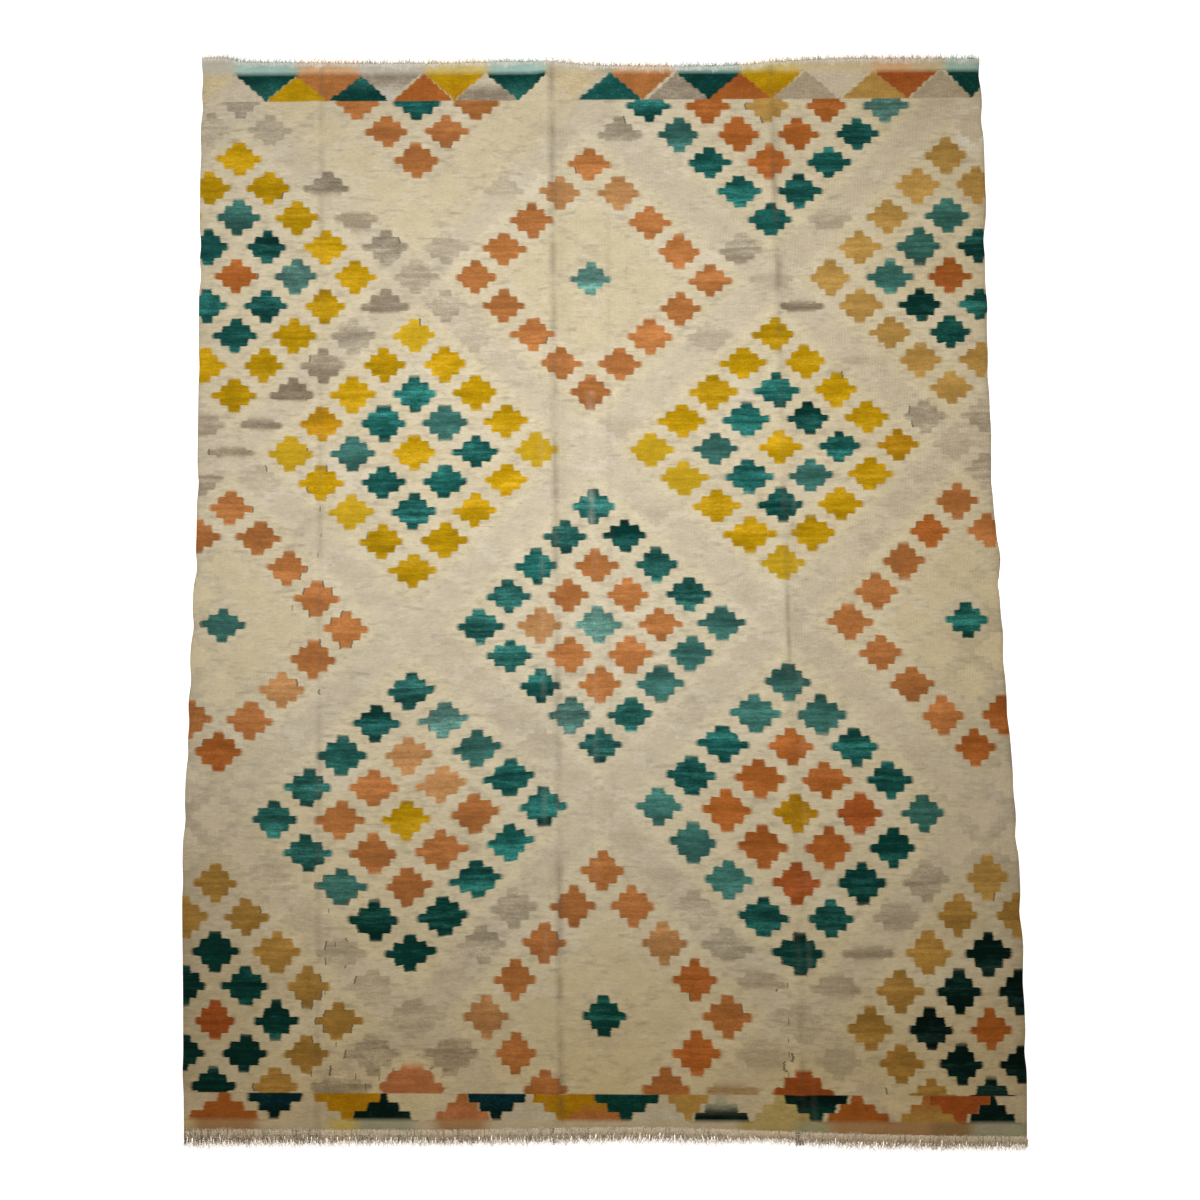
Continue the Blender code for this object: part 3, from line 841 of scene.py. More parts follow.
class Graph:
    """Adds shader nodes to a new material; numbers come back as Values, colours as sockets."""

    def __init__(self, name):
        self.material = bpy.data.materials.new(name)
        self.material.use_nodes = True
        self.tree = self.material.node_tree
        self.shader = self.tree.nodes["Principled BSDF"]

    def node(self, kind, **settings):
        node = self.tree.nodes.new("ShaderNode" + kind)
        for name, value in settings.items():
            setattr(node, name, value)
        return node

    def plug(self, socket, value):
        value = getattr(value, "socket", value)
        if isinstance(value, bpy.types.NodeSocket):
            self.tree.links.new(value, socket)
        else:
            socket.default_value = value

    def fill(self, node, *values):
        """Plug values into a node's inputs in their order, and return its first output."""
        for socket, value in zip(node.inputs, values):
            self.plug(socket, value)
        return node.outputs[0]

    def dress(self, looks):
        """Set the surface's inputs by name."""
        for name, value in looks.items():
            self.plug(self.shader.inputs[name], value)
        return self.material

    def place(self):
        return self.node("TexCoord").outputs["Object"]

    def attribute(self, name):
        return self.node("Attribute", attribute_name=name).outputs

    def math(self, operation, *values):
        return Value(self, self.fill(self.node("Math", operation=operation), *values))

    def clamp(self, value):
        return Value(self, self.fill(self.node("Clamp"), value))

    def ramp(self, value, low, high, to_low=0.0, to_high=1.0):
        """value moved from the range low to high into the range to_low to to_high, and kept in it."""
        return Value(self, self.fill(self.node("MapRange"), value, low, high, to_low, to_high))

    def split(self, vector):
        node = self.node("SeparateXYZ")
        self.plug(node.inputs[0], vector)
        return [Value(self, output) for output in node.outputs]

    def join(self, x, y, z):
        return self.fill(self.node("CombineXYZ"), x, y, z)

    def grey(self, value):
        return self.join(value, value, value)

    def scaled(self, vector, factors):
        return self.fill(self.node("VectorMath", operation="MULTIPLY"), vector, factors)

    def mix(self, part, first, second, kind="MIX"):
        node = self.node("Mix", data_type="RGBA", blend_type=kind)
        self.plug(node.inputs["Factor"], part)
        colours = [socket for socket in node.inputs if socket.type == "RGBA"]
        self.plug(colours[0], first)
        self.plug(colours[1], second)
        return [socket for socket in node.outputs if socket.type == "RGBA"][0]

    def noise(self, noise):
        node = self.node("TexNoise")
        factors = (noise.across, noise.along, noise.across)
        self.plug(node.inputs["Vector"], self.scaled(self.place(), factors))
        node.inputs["Scale"].default_value = 1.0
        node.inputs["Detail"].default_value = noise.detail
        return Value(self, node.outputs["Fac"])

    def dice(self, i, j, salt):
        """A random number for each lozenge, or for each of its parts when salt tells them apart."""
        node = self.node("TexWhiteNoise", noise_dimensions="3D")
        self.plug(node.inputs["Vector"], self.join(i, j, salt))
        return Value(self, node.outputs["Value"])

    def pick(self, i, j, salt, low, high):
        return self.ramp(self.dice(i, j, salt), 0.0, 1.0, low, high)

    def bump(self, height, distance, strength, under=None):
        node = self.node("Bump")
        looks = {"Height": height, "Distance": distance, "Strength": strength}
        if under is not None:
            looks["Normal"] = under
        for name, value in looks.items():
            self.plug(node.inputs[name], value)
        return node.outputs[0]


# ---- Wool of the cloth ----
ARM_REACH = 0.738           # half length of a lozenge's middle bar, in half pitches
STEP_BACK = 0.272           # each bar is shorter than the last by this, at either end
STEP_SLANT = 0.16           # how much a step's side leans, as a part of the step
FAR_SLANT = 0.55            # the same for the teeth of the far border, which has the lower steps
ARM_TAPER = 0.030           # how much the middle bar's ends are rounded off
ARM_FADE = 0.55             # the middle bar's ends are this part as sharp as the other bars'
BAR_STRAY = 0.040           # a bar's ends stray this far from the rule
PICK_JITTER = 0.026         # the wefts of an edge don't all turn back at the same warp
EDGE_WANDER = 0.08          # and the whole pattern wanders sideways this far
ROW_WANDER = 0.035          # and lengthways this far
LOZENGE_HEIGHT = 0.60       # half height of a lozenge
LOZENGE_WIDTHS = (0.94, 1.06)
LOZENGE_LENGTHS = (0.93, 1.10)
EDGE_SOFTNESS = 0.038       # wool blurs the pattern's edges over this, in half pitches
BAR_TONE = 0.28             # how far the tone strays from bar to bar
WAVE_TONE = 0.40            # and in waves along the warp
WAVE_TURNS = (1.5, 5.5)     # radians of such a wave to a half pitch
WHOLE_TURN = 6.28
# What tells a lozenge's random numbers apart; the bars themselves take -2 to 2.
WIDTH_SALT = 0.3
LENGTH_SALT = 0.9
TURNS_SALT = 3.3
START_SALT = 5.3
SIDE_SALT = 10.0            # added for the right end of a bar, and taken off for the left one
SLIT_SALT = 0.7
WEFT_STREAKS = 0.52         # how far single wefts' tone strays inside a lozenge
TONE_GAIN = 1.40            # how strongly tone lightens or darkens a dye, in doublings
TONE_LIFT = (0.020, 0.045, 0.045)
GRAIN = 0.4                 # how far the tone strays from stitch to stitch
SHADE = (-0.5, 0.5, 0.85, 1.15)     # the same streaks darken and lighten all the wool
MOST_NOISE = (0.25, 0.75)   # the range that most of a noise lies in
RIB_PITCH = 0.0028          # from one warp to the next
WEFT_PITCH = 0.0016
RIB_WANDER = 0.9            # how far the warps wander, in ribs
RIB_ROUND = 4.0             # how steeply a rib falls off to its sides
BEAD_ROUND = 1.6            # and a bead of weft to its ends
WAVY_RELIEF = (0.0020, 0.6)  # depth in metres and strength of the weave's soft creases
WOVEN_RELIEF = (0.0007, 0.5) # and of its ribs

# Noises of the wool: lumps a metre across and along the rug, and how many octaves of detail.
Noise = namedtuple("Noise", "across along detail")
CLOUDS = Noise(5.0, 9.0, 4.0)
SMUDGES = Noise(15.0, 66.0, 3.0)
LAZY_LINES = Noise(11.0, 300.0, 1.0)
BLOTS = Noise(48.0, 120.0, 3.0)
FINE = Noise(110.0, 300.0, 2.0)
GRAINS = Noise(300.0, 300.0, 2.0)
MOTTLE = Noise(28.0, 44.0, 3.0)
WEFTS = Noise(14.0, 135.0, 2.0)
PICKS = Noise(25.0, 430.0, 1.0)
WANDER = Noise(14.0, 14.0, 2.0)
ROW_WANDERING = Noise(32.0, 32.0, 1.0)
RIB_DRIFT = Noise(18.0, 18.0, 2.0)
YELLOW_SHIFT_PATCHES = Noise(3.0, 3.0, 2.0)
BARE_RIBS = Noise(330.0, 45.0, 2.0)
BARE_REACH = Noise(70.0, 70.0, 2.0)
# breaks in the painted shade and highlight along the folds
FOLD_SHADING_BREAKS = Noise(20.0, 16.0, 3.0)
SOFT_CREASES = Noise(7.0, 34.0, 3.0)

# Where the border starts and stops, as parts of its height, counted towards the end of the rug.
BORDER_START = (-0.02, 0.02)
BORDER_STOP = (0.90, 1.08)
WOOL_ROUGHNESS = (0.2, 0.8, 0.82, 0.98)

# The pale wool also paints highlights, and the dull wool also the shade along the selvedges.
PALE_WOOL_AND_HIGHLIGHT = (0.78, 0.72, 0.61, 1.0)
DULL_WOOL_AND_SHADE = (0.36, 0.31, 0.24, 1.0)
# painted highlight: near-white, for the patch of sheen
PAINTED_SHEEN = (0.86, 0.86, 0.86, 1.0)
BARE_WARP = (0.92, 0.89, 0.82, 1.0)
# makes colours yellower and darker
YELLOW_SHIFT = (1.0, 0.91, 0.72, 1.0)
YELLOW_SHIFT_MIDDLE = 0.45          # how much of that shows along the rug's middle
# painted shade: the darkest colour, used in the folds and in the open slits
PAINTED_SHADE = (0.14, 0.11, 0.08, 1.0)

# Where each stain of the ground starts and is full, and how much of it shows at either place.
PALE_CLOUDS = (0.52, 0.72, 0.0, 0.50)
DULL_CLOUDS = (0.48, 0.28, 0.0, 0.22)
DULL_SMUDGES = (0.57, 0.74, 0.0, 0.50)
DULL_LINES = (0.70, 0.78, 0.0, 0.50)
DULL_BLOTS = (0.52, 0.75, 0.0, 0.44)
PALE_BLOTS = (0.48, 0.25, 0.0, 0.44)
# the patch of sheen, a painted highlight, turns near-white from this tone
PAINTED_SHEEN_PART = (0.90, 1.60, 0.0, 0.65)
# The same for the yellower, darker shift, over x or y in metres, and for its patches.
YELLOW_SHIFT_SIDES = (0.15, 0.60, YELLOW_SHIFT_MIDDLE, 1.0)
YELLOW_SHIFT_NEAR_HALF = (-0.25, -0.90)
YELLOW_SHIFT_NEAR_END = (-0.55, -0.90)
YELLOW_SHIFT_RIGHT = (0.25, 0.75, 0.0, 0.45)
YELLOW_SHIFT_PATCHY = (0.3, 0.7, 0.7, 1.0)
# The same for the bare warps, over the distance from the edge, and for how it varies.
BARE_NEAR = (0.0, 0.0060, 0.8, 0.0)
BARE_FAR = (0.0, 0.0125, 1.0, 0.0)
BARE_REACHES = (0.3, 0.7, 0.7, 1.8)
BARE_STRIPES = (0.3, 0.65, 0.2, 1.4)

# Painted shade along the old folds has tone below 0, and painted highlight along their crests has tone above
# it.
Crease = namedtuple("Crease", "far_x near_x half_width tone start_y end_y")
FOLD_SHADING = rows_of(
    Crease,
    (-0.534, -0.5, 0.01, -0.26, 1.1, -1.1), (-0.118, -0.09, 0.009, 0.08, 0.35, -1.1),
    (-0.092, -0.066, 0.011, -0.42, 1.1, -1.1), (-0.076, -0.05, 0.016, -0.1, 1.0, 0.1),
    (-0.02, -0.006, 0.011, 0.36, 0.36, 0.08), (-0.012, -0.002, 0.009, 0.08, 0.08, -0.6),
    (0.016, 0.028, 0.008, -0.12, 0.7, -0.6), (0.331, 0.366, 0.0095, -0.24, 1.1, -0.15),
    (0.331, 0.366, 0.0095, -0.13, -0.15, -1.1), (0.331, 0.366, 0.01, -0.22, 0.8, 0.69),
    (0.335, 0.37, 0.011, -0.22, 0.625, 0.56), (0.331, 0.366, 0.006, -0.3, 0.02, -0.17),
    (0.331, 0.366, 0.009, -0.22, -0.78, -0.9), (0.35, 0.386, 0.009, 0.06, 0.2, -1.1),
)
# Where painted shadow shows in the slits at the ends of a lozenge's bars; share is how many of them are
# open.
SlitZone = namedtuple("SlitZone", "x half_width start_y end_y share")
SLIT_ZONES = rows_of(
    SlitZone,
    (-0.5, 0.07, 0.25, -0.2, 0.2), (-0.48, 0.06, -0.5, -1.0, 0.28), (0.35, 0.045, -0.62, -1.0, 0.25),
)
# Slits that gape by themselves, in the ground beside the folds, marked with painted shadow.
Gape = namedtuple("Gape", "x y length")
GAPES = rows_of(
    Gape,
    (-0.519, 0.135, 0.012), (-0.516, 0.085, 0.008), (-0.521, 0.048, 0.01), (-0.567, -0.05, 0.012),
    (-0.488, -0.6, 0.008), (-0.475, -0.66, 0.01), (-0.492, -0.745, 0.008), (-0.47, -0.835, 0.01),
    (-0.513, -0.885, 0.012), (-0.434, -0.89, 0.012), (-0.416, -0.908, 0.014), (-0.392, -0.893, 0.01),
    (0.34, -0.731, 0.01), (0.341, -0.795, 0.013), (0.34, -0.828, 0.008), (0.341, -0.852, 0.01),
    (0.34, -0.89, 0.014), (0.341, -0.912, 0.008),
)
GAPE_WIDTH = 0.0013         # to either side
GAPE_CORE = 0.3             # part of that which is fully dark
GAPE_TIP = 0.4              # and the part of the length, to either side, before it fades
COMMON_SLITS = 0.012        # share of the slits that are open elsewhere
SLIT_SIDES = (0.018, 0.036, 1.0, 0.0)   # a slit's painted shadow fades over this, from the end of its bar
MIN_SLIT_DYE = 0.10         # no slits where the lozenge is too faint to show
# how dark the painted shadow in an open slit is
SLIT_SHADOW = 0.80


def edge_wobble(graph):
    """How far the pattern's edges stray sideways, in half pitches."""
    jitter = graph.ramp(graph.noise(PICKS), *MOST_NOISE, -PICK_JITTER, PICK_JITTER)
    return jitter + graph.ramp(graph.noise(WANDER), 0.0, 1.0, -EDGE_WANDER, EDGE_WANDER)


def stepped_half(graph, dy):
    """Half width of a lozenge at a height from its middle: five bars, each shorter than the last."""
    level = abs(dy) / BAR_HEIGHT + 0.5
    bar = graph.math("FLOOR", level)
    lean = graph.math("FRACT", level) - 0.5
    back = bar + lean * STEP_SLANT
    taper = graph.math("POWER", lean * 2.0, 4.0) * (bar < 0.5)
    return ARM_REACH - back * STEP_BACK - taper * ARM_TAPER, bar


def open_slits(graph):
    """Share of the slits that are open and painted dark with shadow."""
    x, y, _ = graph.split(graph.place())
    share = COMMON_SLITS
    for zone in SLIT_ZONES:
        inside = (abs(x - zone.x) < zone.half_width) * (y < zone.start_y) * (y > zone.end_y)
        share = graph.math("MAXIMUM", share, inside * zone.share)
    return share


def gaping_slits(graph):
    """The short dark marks of painted shadow in the slits that gape."""
    x, y, _ = graph.split(graph.place())
    marks = 0.0
    for gape in GAPES:
        across = graph.ramp(abs(x - gape.x), GAPE_CORE * GAPE_WIDTH, GAPE_WIDTH, 1.0, 0.0)
        along = graph.ramp(abs(y - gape.y), GAPE_TIP * gape.length, 0.5 * gape.length, 1.0, 0.0)
        marks = graph.math("MAXIMUM", marks, across * along)
    return marks


def lozenge_tone(graph, i, j, side_bar, dy, streak):
    """How light or dark the dye is: by bar, in waves along the warp, by weft, and by the wool's streaks."""
    bar_tone = graph.pick(i, j, side_bar, -BAR_TONE, BAR_TONE)
    turns = graph.pick(i, j, TURNS_SALT, *WAVE_TURNS)
    start = graph.pick(i, j, START_SALT, 0.0, WHOLE_TURN)
    wave = graph.math("SINE", dy * turns + start)
    wefts = graph.ramp(graph.noise(WEFTS), *MOST_NOISE, -WEFT_STREAKS, WEFT_STREAKS)
    return bar_tone + wave * WAVE_TONE + wefts + streak


def lozenge_mask(graph, lattice, wobble, streak):
    """Where the lozenges are, which have an odd i, a random tone for each, and their slits painted dark with
    shadow.
    """
    u, v, size = graph.split(lattice)
    u = u + wobble
    v = v + graph.ramp(graph.noise(ROW_WANDERING), *MOST_NOISE, -ROW_WANDER, ROW_WANDER)
    p = graph.math("ROUND", (u + v) * 0.5)
    q = graph.math("ROUND", (u - v) * 0.5)
    i = p + q
    j = p - q
    width = graph.pick(i, j, WIDTH_SALT, *LOZENGE_WIDTHS)
    length = graph.pick(i, j, LENGTH_SALT, *LOZENGE_LENGTHS)
    dx = (u - i) / (size * width)
    dy = (v - j) / (size * length)
    half, bar = stepped_half(graph, dy)
    side_bar = bar * graph.math("SIGN", dy)
    end_of_bar = graph.math("MULTIPLY_ADD", graph.math("SIGN", dx), SIDE_SALT, side_bar)
    inside = half + graph.pick(i, j, end_of_bar, -BAR_STRAY, BAR_STRAY) - abs(dx)
    below_top = LOZENGE_HEIGHT - abs(dy)
    sharp = inside * graph.ramp(bar, 0.0, 1.0, ARM_FADE, 1.0)
    mask = graph.ramp(graph.math("MINIMUM", sharp, below_top), -EDGE_SOFTNESS, EDGE_SOFTNESS)
    tone = lozenge_tone(graph, i, j, side_bar, dy, streak)
    at_end = graph.ramp(abs(inside), *SLIT_SIDES) * (below_top > 0.0)
    slit = at_end * (graph.dice(i, j, end_of_bar + SLIT_SALT) < open_slits(graph))
    return mask, graph.math("PINGPONG", i, 1.0), tone, slit


def tooth_mask(graph, off, height, fill, steps):
    """Where a stepped triangle is: off is 0 at its middle, and it is widest where height is 1."""
    level = height * steps
    slant = graph.ramp(steps, NEAR_BORDER.steps, FAR_BORDER.steps, STEP_SLANT, FAR_SLANT)
    step = graph.math("FLOOR", level) + (graph.math("FRACT", level) - 0.5) * slant
    half = (step + 0.5) / (steps - 0.5)
    return graph.ramp(half * fill - off, -EDGE_SOFTNESS, EDGE_SOFTNESS)


def toned(graph, colour, tone, streaks):
    """A dye made lighter and darker by tone, as unevenly as streaks says."""
    amount = tone * streaks
    gain = graph.math("POWER", 2.0, amount * TONE_GAIN)
    lift = graph.grey(graph.math("MAXIMUM", amount, 0.0))
    node = graph.node("VectorMath", operation="MULTIPLY_ADD")
    return graph.fill(node, colour, graph.grey(gain), graph.scaled(lift, TONE_LIFT))


def weave_height(graph):
    """Height of the weave: beads of weft over upright warps."""
    x, y, _ = graph.split(graph.place())
    rib = x / RIB_PITCH + graph.ramp(graph.noise(RIB_DRIFT), 0.0, 1.0, -RIB_WANDER, RIB_WANDER)
    across = graph.math("FRACT", rib) - 0.5
    pick = y / WEFT_PITCH + graph.math("FLOOR", rib) * 0.5
    along = graph.math("FRACT", pick) - 0.5
    return (1.0 - across * across * RIB_ROUND) * (1.0 - along * along * BEAD_ROUND)


def worn_and_shaded_ground(graph, ground, wear_and_shade):
    """The undyed wool: cloudy patches, grey smudges along the weft, a few thin lazy lines, and the patches
    of wear with a painted highlight and the painted shade along the selvedges.
    """
    clouds = graph.noise(CLOUDS)
    blots = graph.noise(BLOTS)
    pale = graph.math("MAXIMUM", graph.ramp(clouds, *PALE_CLOUDS), wear_and_shade)
    dull = graph.math("MAXIMUM", graph.ramp(graph.noise(SMUDGES), *DULL_SMUDGES), wear_and_shade * -1.0)
    # pale also takes the painted highlight, and dull the painted shade along the selvedges
    stains = (
        (graph.clamp(pale), PALE_WOOL_AND_HIGHLIGHT),
        # painted highlight of the patch of sheen
        (graph.ramp(wear_and_shade, *PAINTED_SHEEN_PART), PAINTED_SHEEN),
        (graph.ramp(clouds, *DULL_CLOUDS), DULL_WOOL_AND_SHADE),
        (graph.clamp(dull), DULL_WOOL_AND_SHADE),
        (graph.ramp(blots, *DULL_BLOTS), DULL_WOOL_AND_SHADE),
        (graph.ramp(blots, *PALE_BLOTS), PALE_WOOL_AND_HIGHLIGHT),
        (graph.ramp(graph.noise(LAZY_LINES), *DULL_LINES), DULL_WOOL_AND_SHADE),
    )
    for part, wool in stains:
        ground = graph.mix(part, ground, wool)
    return ground


def shift_yellower(graph, colour):
    """Colours turn yellower and darker, most towards the fringed end and the right selvedge."""
    x, y, _ = graph.split(graph.place())
    near_half = graph.ramp(y, *YELLOW_SHIFT_NEAR_HALF) * graph.ramp(abs(x), *YELLOW_SHIFT_SIDES)
    near_end = graph.math("MAXIMUM", near_half, graph.ramp(y, *YELLOW_SHIFT_NEAR_END))
    part = graph.math("MAXIMUM", near_end, graph.ramp(x, *YELLOW_SHIFT_RIGHT))
    patchy = graph.ramp(graph.noise(YELLOW_SHIFT_PATCHES), *YELLOW_SHIFT_PATCHY)
    return graph.mix(part * patchy, colour, graph.mix(1.0, colour, YELLOW_SHIFT, "MULTIPLY"))


def bare_ends(graph, colour, near, far):
    """The last wefts are worn off the pale warps at both ends."""
    reach = graph.ramp(graph.noise(BARE_REACH), *BARE_REACHES)
    bare = graph.math("MAXIMUM", graph.ramp(near * reach, *BARE_NEAR), graph.ramp(far * reach, *BARE_FAR))
    part = bare * graph.ramp(graph.noise(BARE_RIBS), *BARE_STRIPES)
    return graph.mix(graph.clamp(part), colour, BARE_WARP)


def paint_fold_shading(graph, colour):
    """Paint shade and highlight into the colour along the old fold lines."""
    x, y, _ = graph.split(graph.place())
    breaks = graph.ramp(graph.noise(FOLD_SHADING_BREAKS), 0.3, 0.6)
    for crease in FOLD_SHADING:
        slope = (crease.far_x - crease.near_x) / (2.0 * FAR_END)
        middle = graph.math("MULTIPLY_ADD", y, slope, 0.5 * (crease.far_x + crease.near_x))
        part = graph.ramp(abs(x - middle), 0.0, crease.half_width, abs(crease.tone), 0.0)
        inside = (y > crease.end_y) * ((y < crease.start_y) * part)
        # painted shade below 0, painted highlight above it
        tint = PAINTED_SHADE if crease.tone < 0.0 else PALE_WOOL_AND_HIGHLIGHT
        colour = graph.mix(inside * breaks, colour, tint)
    return colour


def field_colour(graph, ground, streak, wobble):
    """The lozenges on their ground, and where painted shadow in slits shows beside them."""
    lattice = graph.attribute("lattice")["Vector"]
    mask, odd, tone, slit = lozenge_mask(graph, lattice, wobble, streak)
    even_dye = graph.attribute("even_dye")
    odd_dye = graph.attribute("odd_dye")
    dye = graph.mix(odd, even_dye["Color"], odd_dye["Color"])
    streaks = (1.0 - odd) * even_dye["Alpha"] + odd * odd_dye["Alpha"]
    field = graph.mix(mask, ground, toned(graph, dye, tone, streaks))
    return field, slit * (streaks > MIN_SLIT_DYE)


def border_colour(graph, ground, streak, wobble, tooth, height):
    """The stepped triangles, those that stand under those that hang."""
    hanging_fill, standing_fill, steps = graph.split(graph.attribute("border_fill")["Vector"])
    off = graph.math("PINGPONG", tooth + wobble, 1.0)
    hangs = tooth_mask(graph, off, height, hanging_fill, steps)
    stands = tooth_mask(graph, 1.0 - off, 1.0 - height, standing_fill, steps)
    border = ground
    for part, name in ((stands, "standing_dye"), (hangs, "hanging_dye")):
        dye = graph.attribute(name)
        border = graph.mix(part, border, toned(graph, dye["Color"], streak, dye["Alpha"]))
    return border


def wool_material():
    graph = Graph("kilim_wool")
    fine = graph.noise(FINE)
    streak = fine + graph.noise(MOTTLE) - 1.0 + graph.ramp(graph.noise(GRAINS), 0.0, 1.0, -GRAIN, GRAIN)
    wobble = edge_wobble(graph)
    near, far, wear_and_shade = graph.split(graph.attribute("ends")["Vector"])
    tooth, height, to_end = graph.split(graph.attribute("border")["Vector"])
    ground = worn_and_shaded_ground(graph, graph.attribute("ground")["Color"], wear_and_shade)
    field, slit = field_colour(graph, ground, streak, wobble)
    border = border_colour(graph, ground, streak, wobble, tooth, height)
    colour = graph.mix(graph.ramp(to_end, *BORDER_START), field, border)
    colour = graph.mix(graph.ramp(to_end, *BORDER_STOP), colour, graph.attribute("end_tint")["Color"])
    slit = graph.math("MAXIMUM", slit * (to_end < 0.0), gaping_slits(graph))
    # painted shadow in the open slits
    colour = graph.mix(slit * SLIT_SHADOW, colour, PAINTED_SHADE)
    # painted shade and highlight along the folds, then the yellower shift and the bare ends
    colour = bare_ends(graph, shift_yellower(graph, paint_fold_shading(graph, colour)), near, far)
    shade = graph.ramp(streak, *SHADE)
    soft = graph.bump(graph.noise(SOFT_CREASES), *WAVY_RELIEF)
    return graph.dress({
        "Base Color": graph.mix(1.0, colour, graph.grey(shade), "MULTIPLY"),
        "Roughness": graph.ramp(fine, *WOOL_ROUGHNESS),
        "Specular IOR Level": 0.08,
        "Sheen Weight": 0.03,
        "Sheen Roughness": 0.5,
        "Normal": graph.bump(weave_height(graph), *WOVEN_RELIEF, soft),
    })


# ---- Yarns and hairs ----
class YarnPile:
    """Collects many thin tapered tubes into one mesh, each with a tint."""

    def __init__(self):
        self.points = []
        self.faces = []
        self.tints = []
        self.count = 0

    def add(self, path, radii, sides, turns, ply, tint):
        start = self.count
        forward = np.gradient(path, axis=0)
        forward /= np.linalg.norm(forward, axis=1)[:, None]
        side = np.cross(forward, (0.0, 0.0, 1.0))
        side /= np.linalg.norm(side, axis=1)[:, None] + TINY_LENGTH
        up = np.cross(side, forward)
        steps = len(path)
        angle = 2.0 * math.pi * np.arange(sides) / sides
        twist = 2.0 * math.pi * turns * np.linspace(0.0, 1.0, steps)[:, None]
        swell = 1.0 + ply * np.cos(2.0 * angle)
        reach = (radii[:, None] * swell)[:, :, None]
        turned = angle + twist
        ring = path[:, None, :] + reach * (
            np.cos(turned)[:, :, None] * side[:, None, :]
            + FLATTENED * np.sin(turned)[:, :, None] * up[:, None, :]
        )
        self.points.append(ring.reshape(-1, 3))
        self.count += steps * sides
        self.tints.append(np.repeat([tint], steps * sides, axis=0))
        for step in range(steps - 1):
            base = start + step * sides
            for number in range(sides):
                nearby = (number + 1) % sides
                corners = (number, nearby, sides + nearby, sides + number)
                self.faces.append(tuple(base + corner for corner in corners))
        self.faces.append(tuple(start + number for number in range(sides))[::-1])
        last = start + (steps - 1) * sides
        self.faces.append(tuple(last + number for number in range(sides)))

    def mesh(self, name):
        points = np.concatenate(self.points)
        points[:, 2] = np.maximum(points[:, 2], 0.0)
        mesh = bpy.data.meshes.new(name)
        mesh.from_pydata(points.tolist(), [], self.faces)
        tints = np.concatenate([np.concatenate(self.tints), np.ones((len(points), 1))], axis=1)
        add_values(mesh, "tint", tints)
        mesh.shade_smooth()
        return mesh


def value_at(table, key, value, at):
    """One value of a table's column, on a smooth curve."""
    return float(smooth(table, key, value, np.array([at]))[0])


def yarn_tint(chance, tints, x, part):
    soiled = SOILED if chance.random() < SOILED_SHARE else 1.0
    cotton = linear(DYES["warp cotton"]) * chance.uniform(*COTTON_TONES) * soiled
    return cotton * (1.0 - part) + tint_colours(tints, np.array([x]))[0, :3] * part


def lay_yarn(pile, chance, x, length, lean):
    """One twisted warp end, from its knot on the weaving's edge out over the floor."""
    edge = value_at(NEAR_EDGE, "x", "y", x)
    t = np.linspace(0.0, 1.0, YARN_STEPS)
    root = YARN_ROOT * chance.uniform(*YARN_ROOTS)
    wander = chance.uniform(-YARN_WANDER, YARN_WANDER)
    curl = chance.uniform(-YARN_CURL, YARN_CURL)
    across = x + (lean + wander) * t ** 1.5 + curl * np.sin(math.pi * t * chance.uniform(1.0, 2.2))
    along = edge + root - (length + root) * t
    radius = YARN_RADIUS * chance.uniform(*YARN_WIDTHS)
    knot = chance.uniform(*KNOT_PLACES)
    swell = 1.0 + KNOT_SWELL * np.exp(-((t - knot) / KNOT_LENGTH) ** 2)
    radii = radius * (1.0 - YARN_TAPER * t ** 4) * swell
    top = KNOT_HEIGHT + chance.uniform(*KNOT_LEVELS)
    arch = YARN_ARCH * chance.random() * np.sin(math.pi * t)
    height = radii + (top - radii) * (1.0 - t) ** 1.2 + arch
    path = np.stack([across, along, height], axis=1)
    turns = YARN_TURNS * chance.choice((-1.0, -1.0, 1.0)) * length / TURNS_LENGTH
    tint = yarn_tint(chance, NEAR_TINTS, x, YARN_TINT_PART)
    pile.add(path, radii, YARN_SIDES, turns, YARN_PLY, tint)


def lay_fibre(pile, chance, start, aim, length, radius, tint):
    """One loose fibre, bent a little, from start towards aim, an angle from +X."""
    t = np.linspace(0.0, 1.0, 3)
    bend = chance.uniform(-FIBRE_BEND, FIBRE_BEND) * length
    path = np.stack([
        start[0] + length * math.cos(aim) * t + bend * t * t,
        start[1] + length * math.sin(aim) * t,
        start[2] + chance.uniform(-0.7, 0.6) * start[2] * t,
    ], axis=1)
    pile.add(path, radius * (1.0 - FIBRE_TAPER * t), 3, 0.0, 0.0, tint)


def lay_locks(pile, chance, left, right):
    pitch = (right - left) / LOCK_COUNT
    for number in range(LOCK_COUNT):
        x = left + pitch * (number + 0.5)
        length = value_at(LOCK_RULE, "x", "length", x) * chance.uniform(*LOCK_LENGTHS)
        lean = value_at(LOCK_RULE, "x", "lean", x) + chance.uniform(-LOCK_WANDER, LOCK_WANDER)
        length += sum(stray.extra for stray in STRAY_LOCKS if abs(x - stray.x) < 0.5 * pitch)
        for yarn in range(YARNS_PER_LOCK):
            offset = pitch * ((yarn + 0.5) / YARNS_PER_LOCK - 0.5)
            reach = length * chance.uniform(*YARN_LENGTHS)
            lay_yarn(pile, chance, x + offset, reach, lean - LOCK_GATHER * offset)


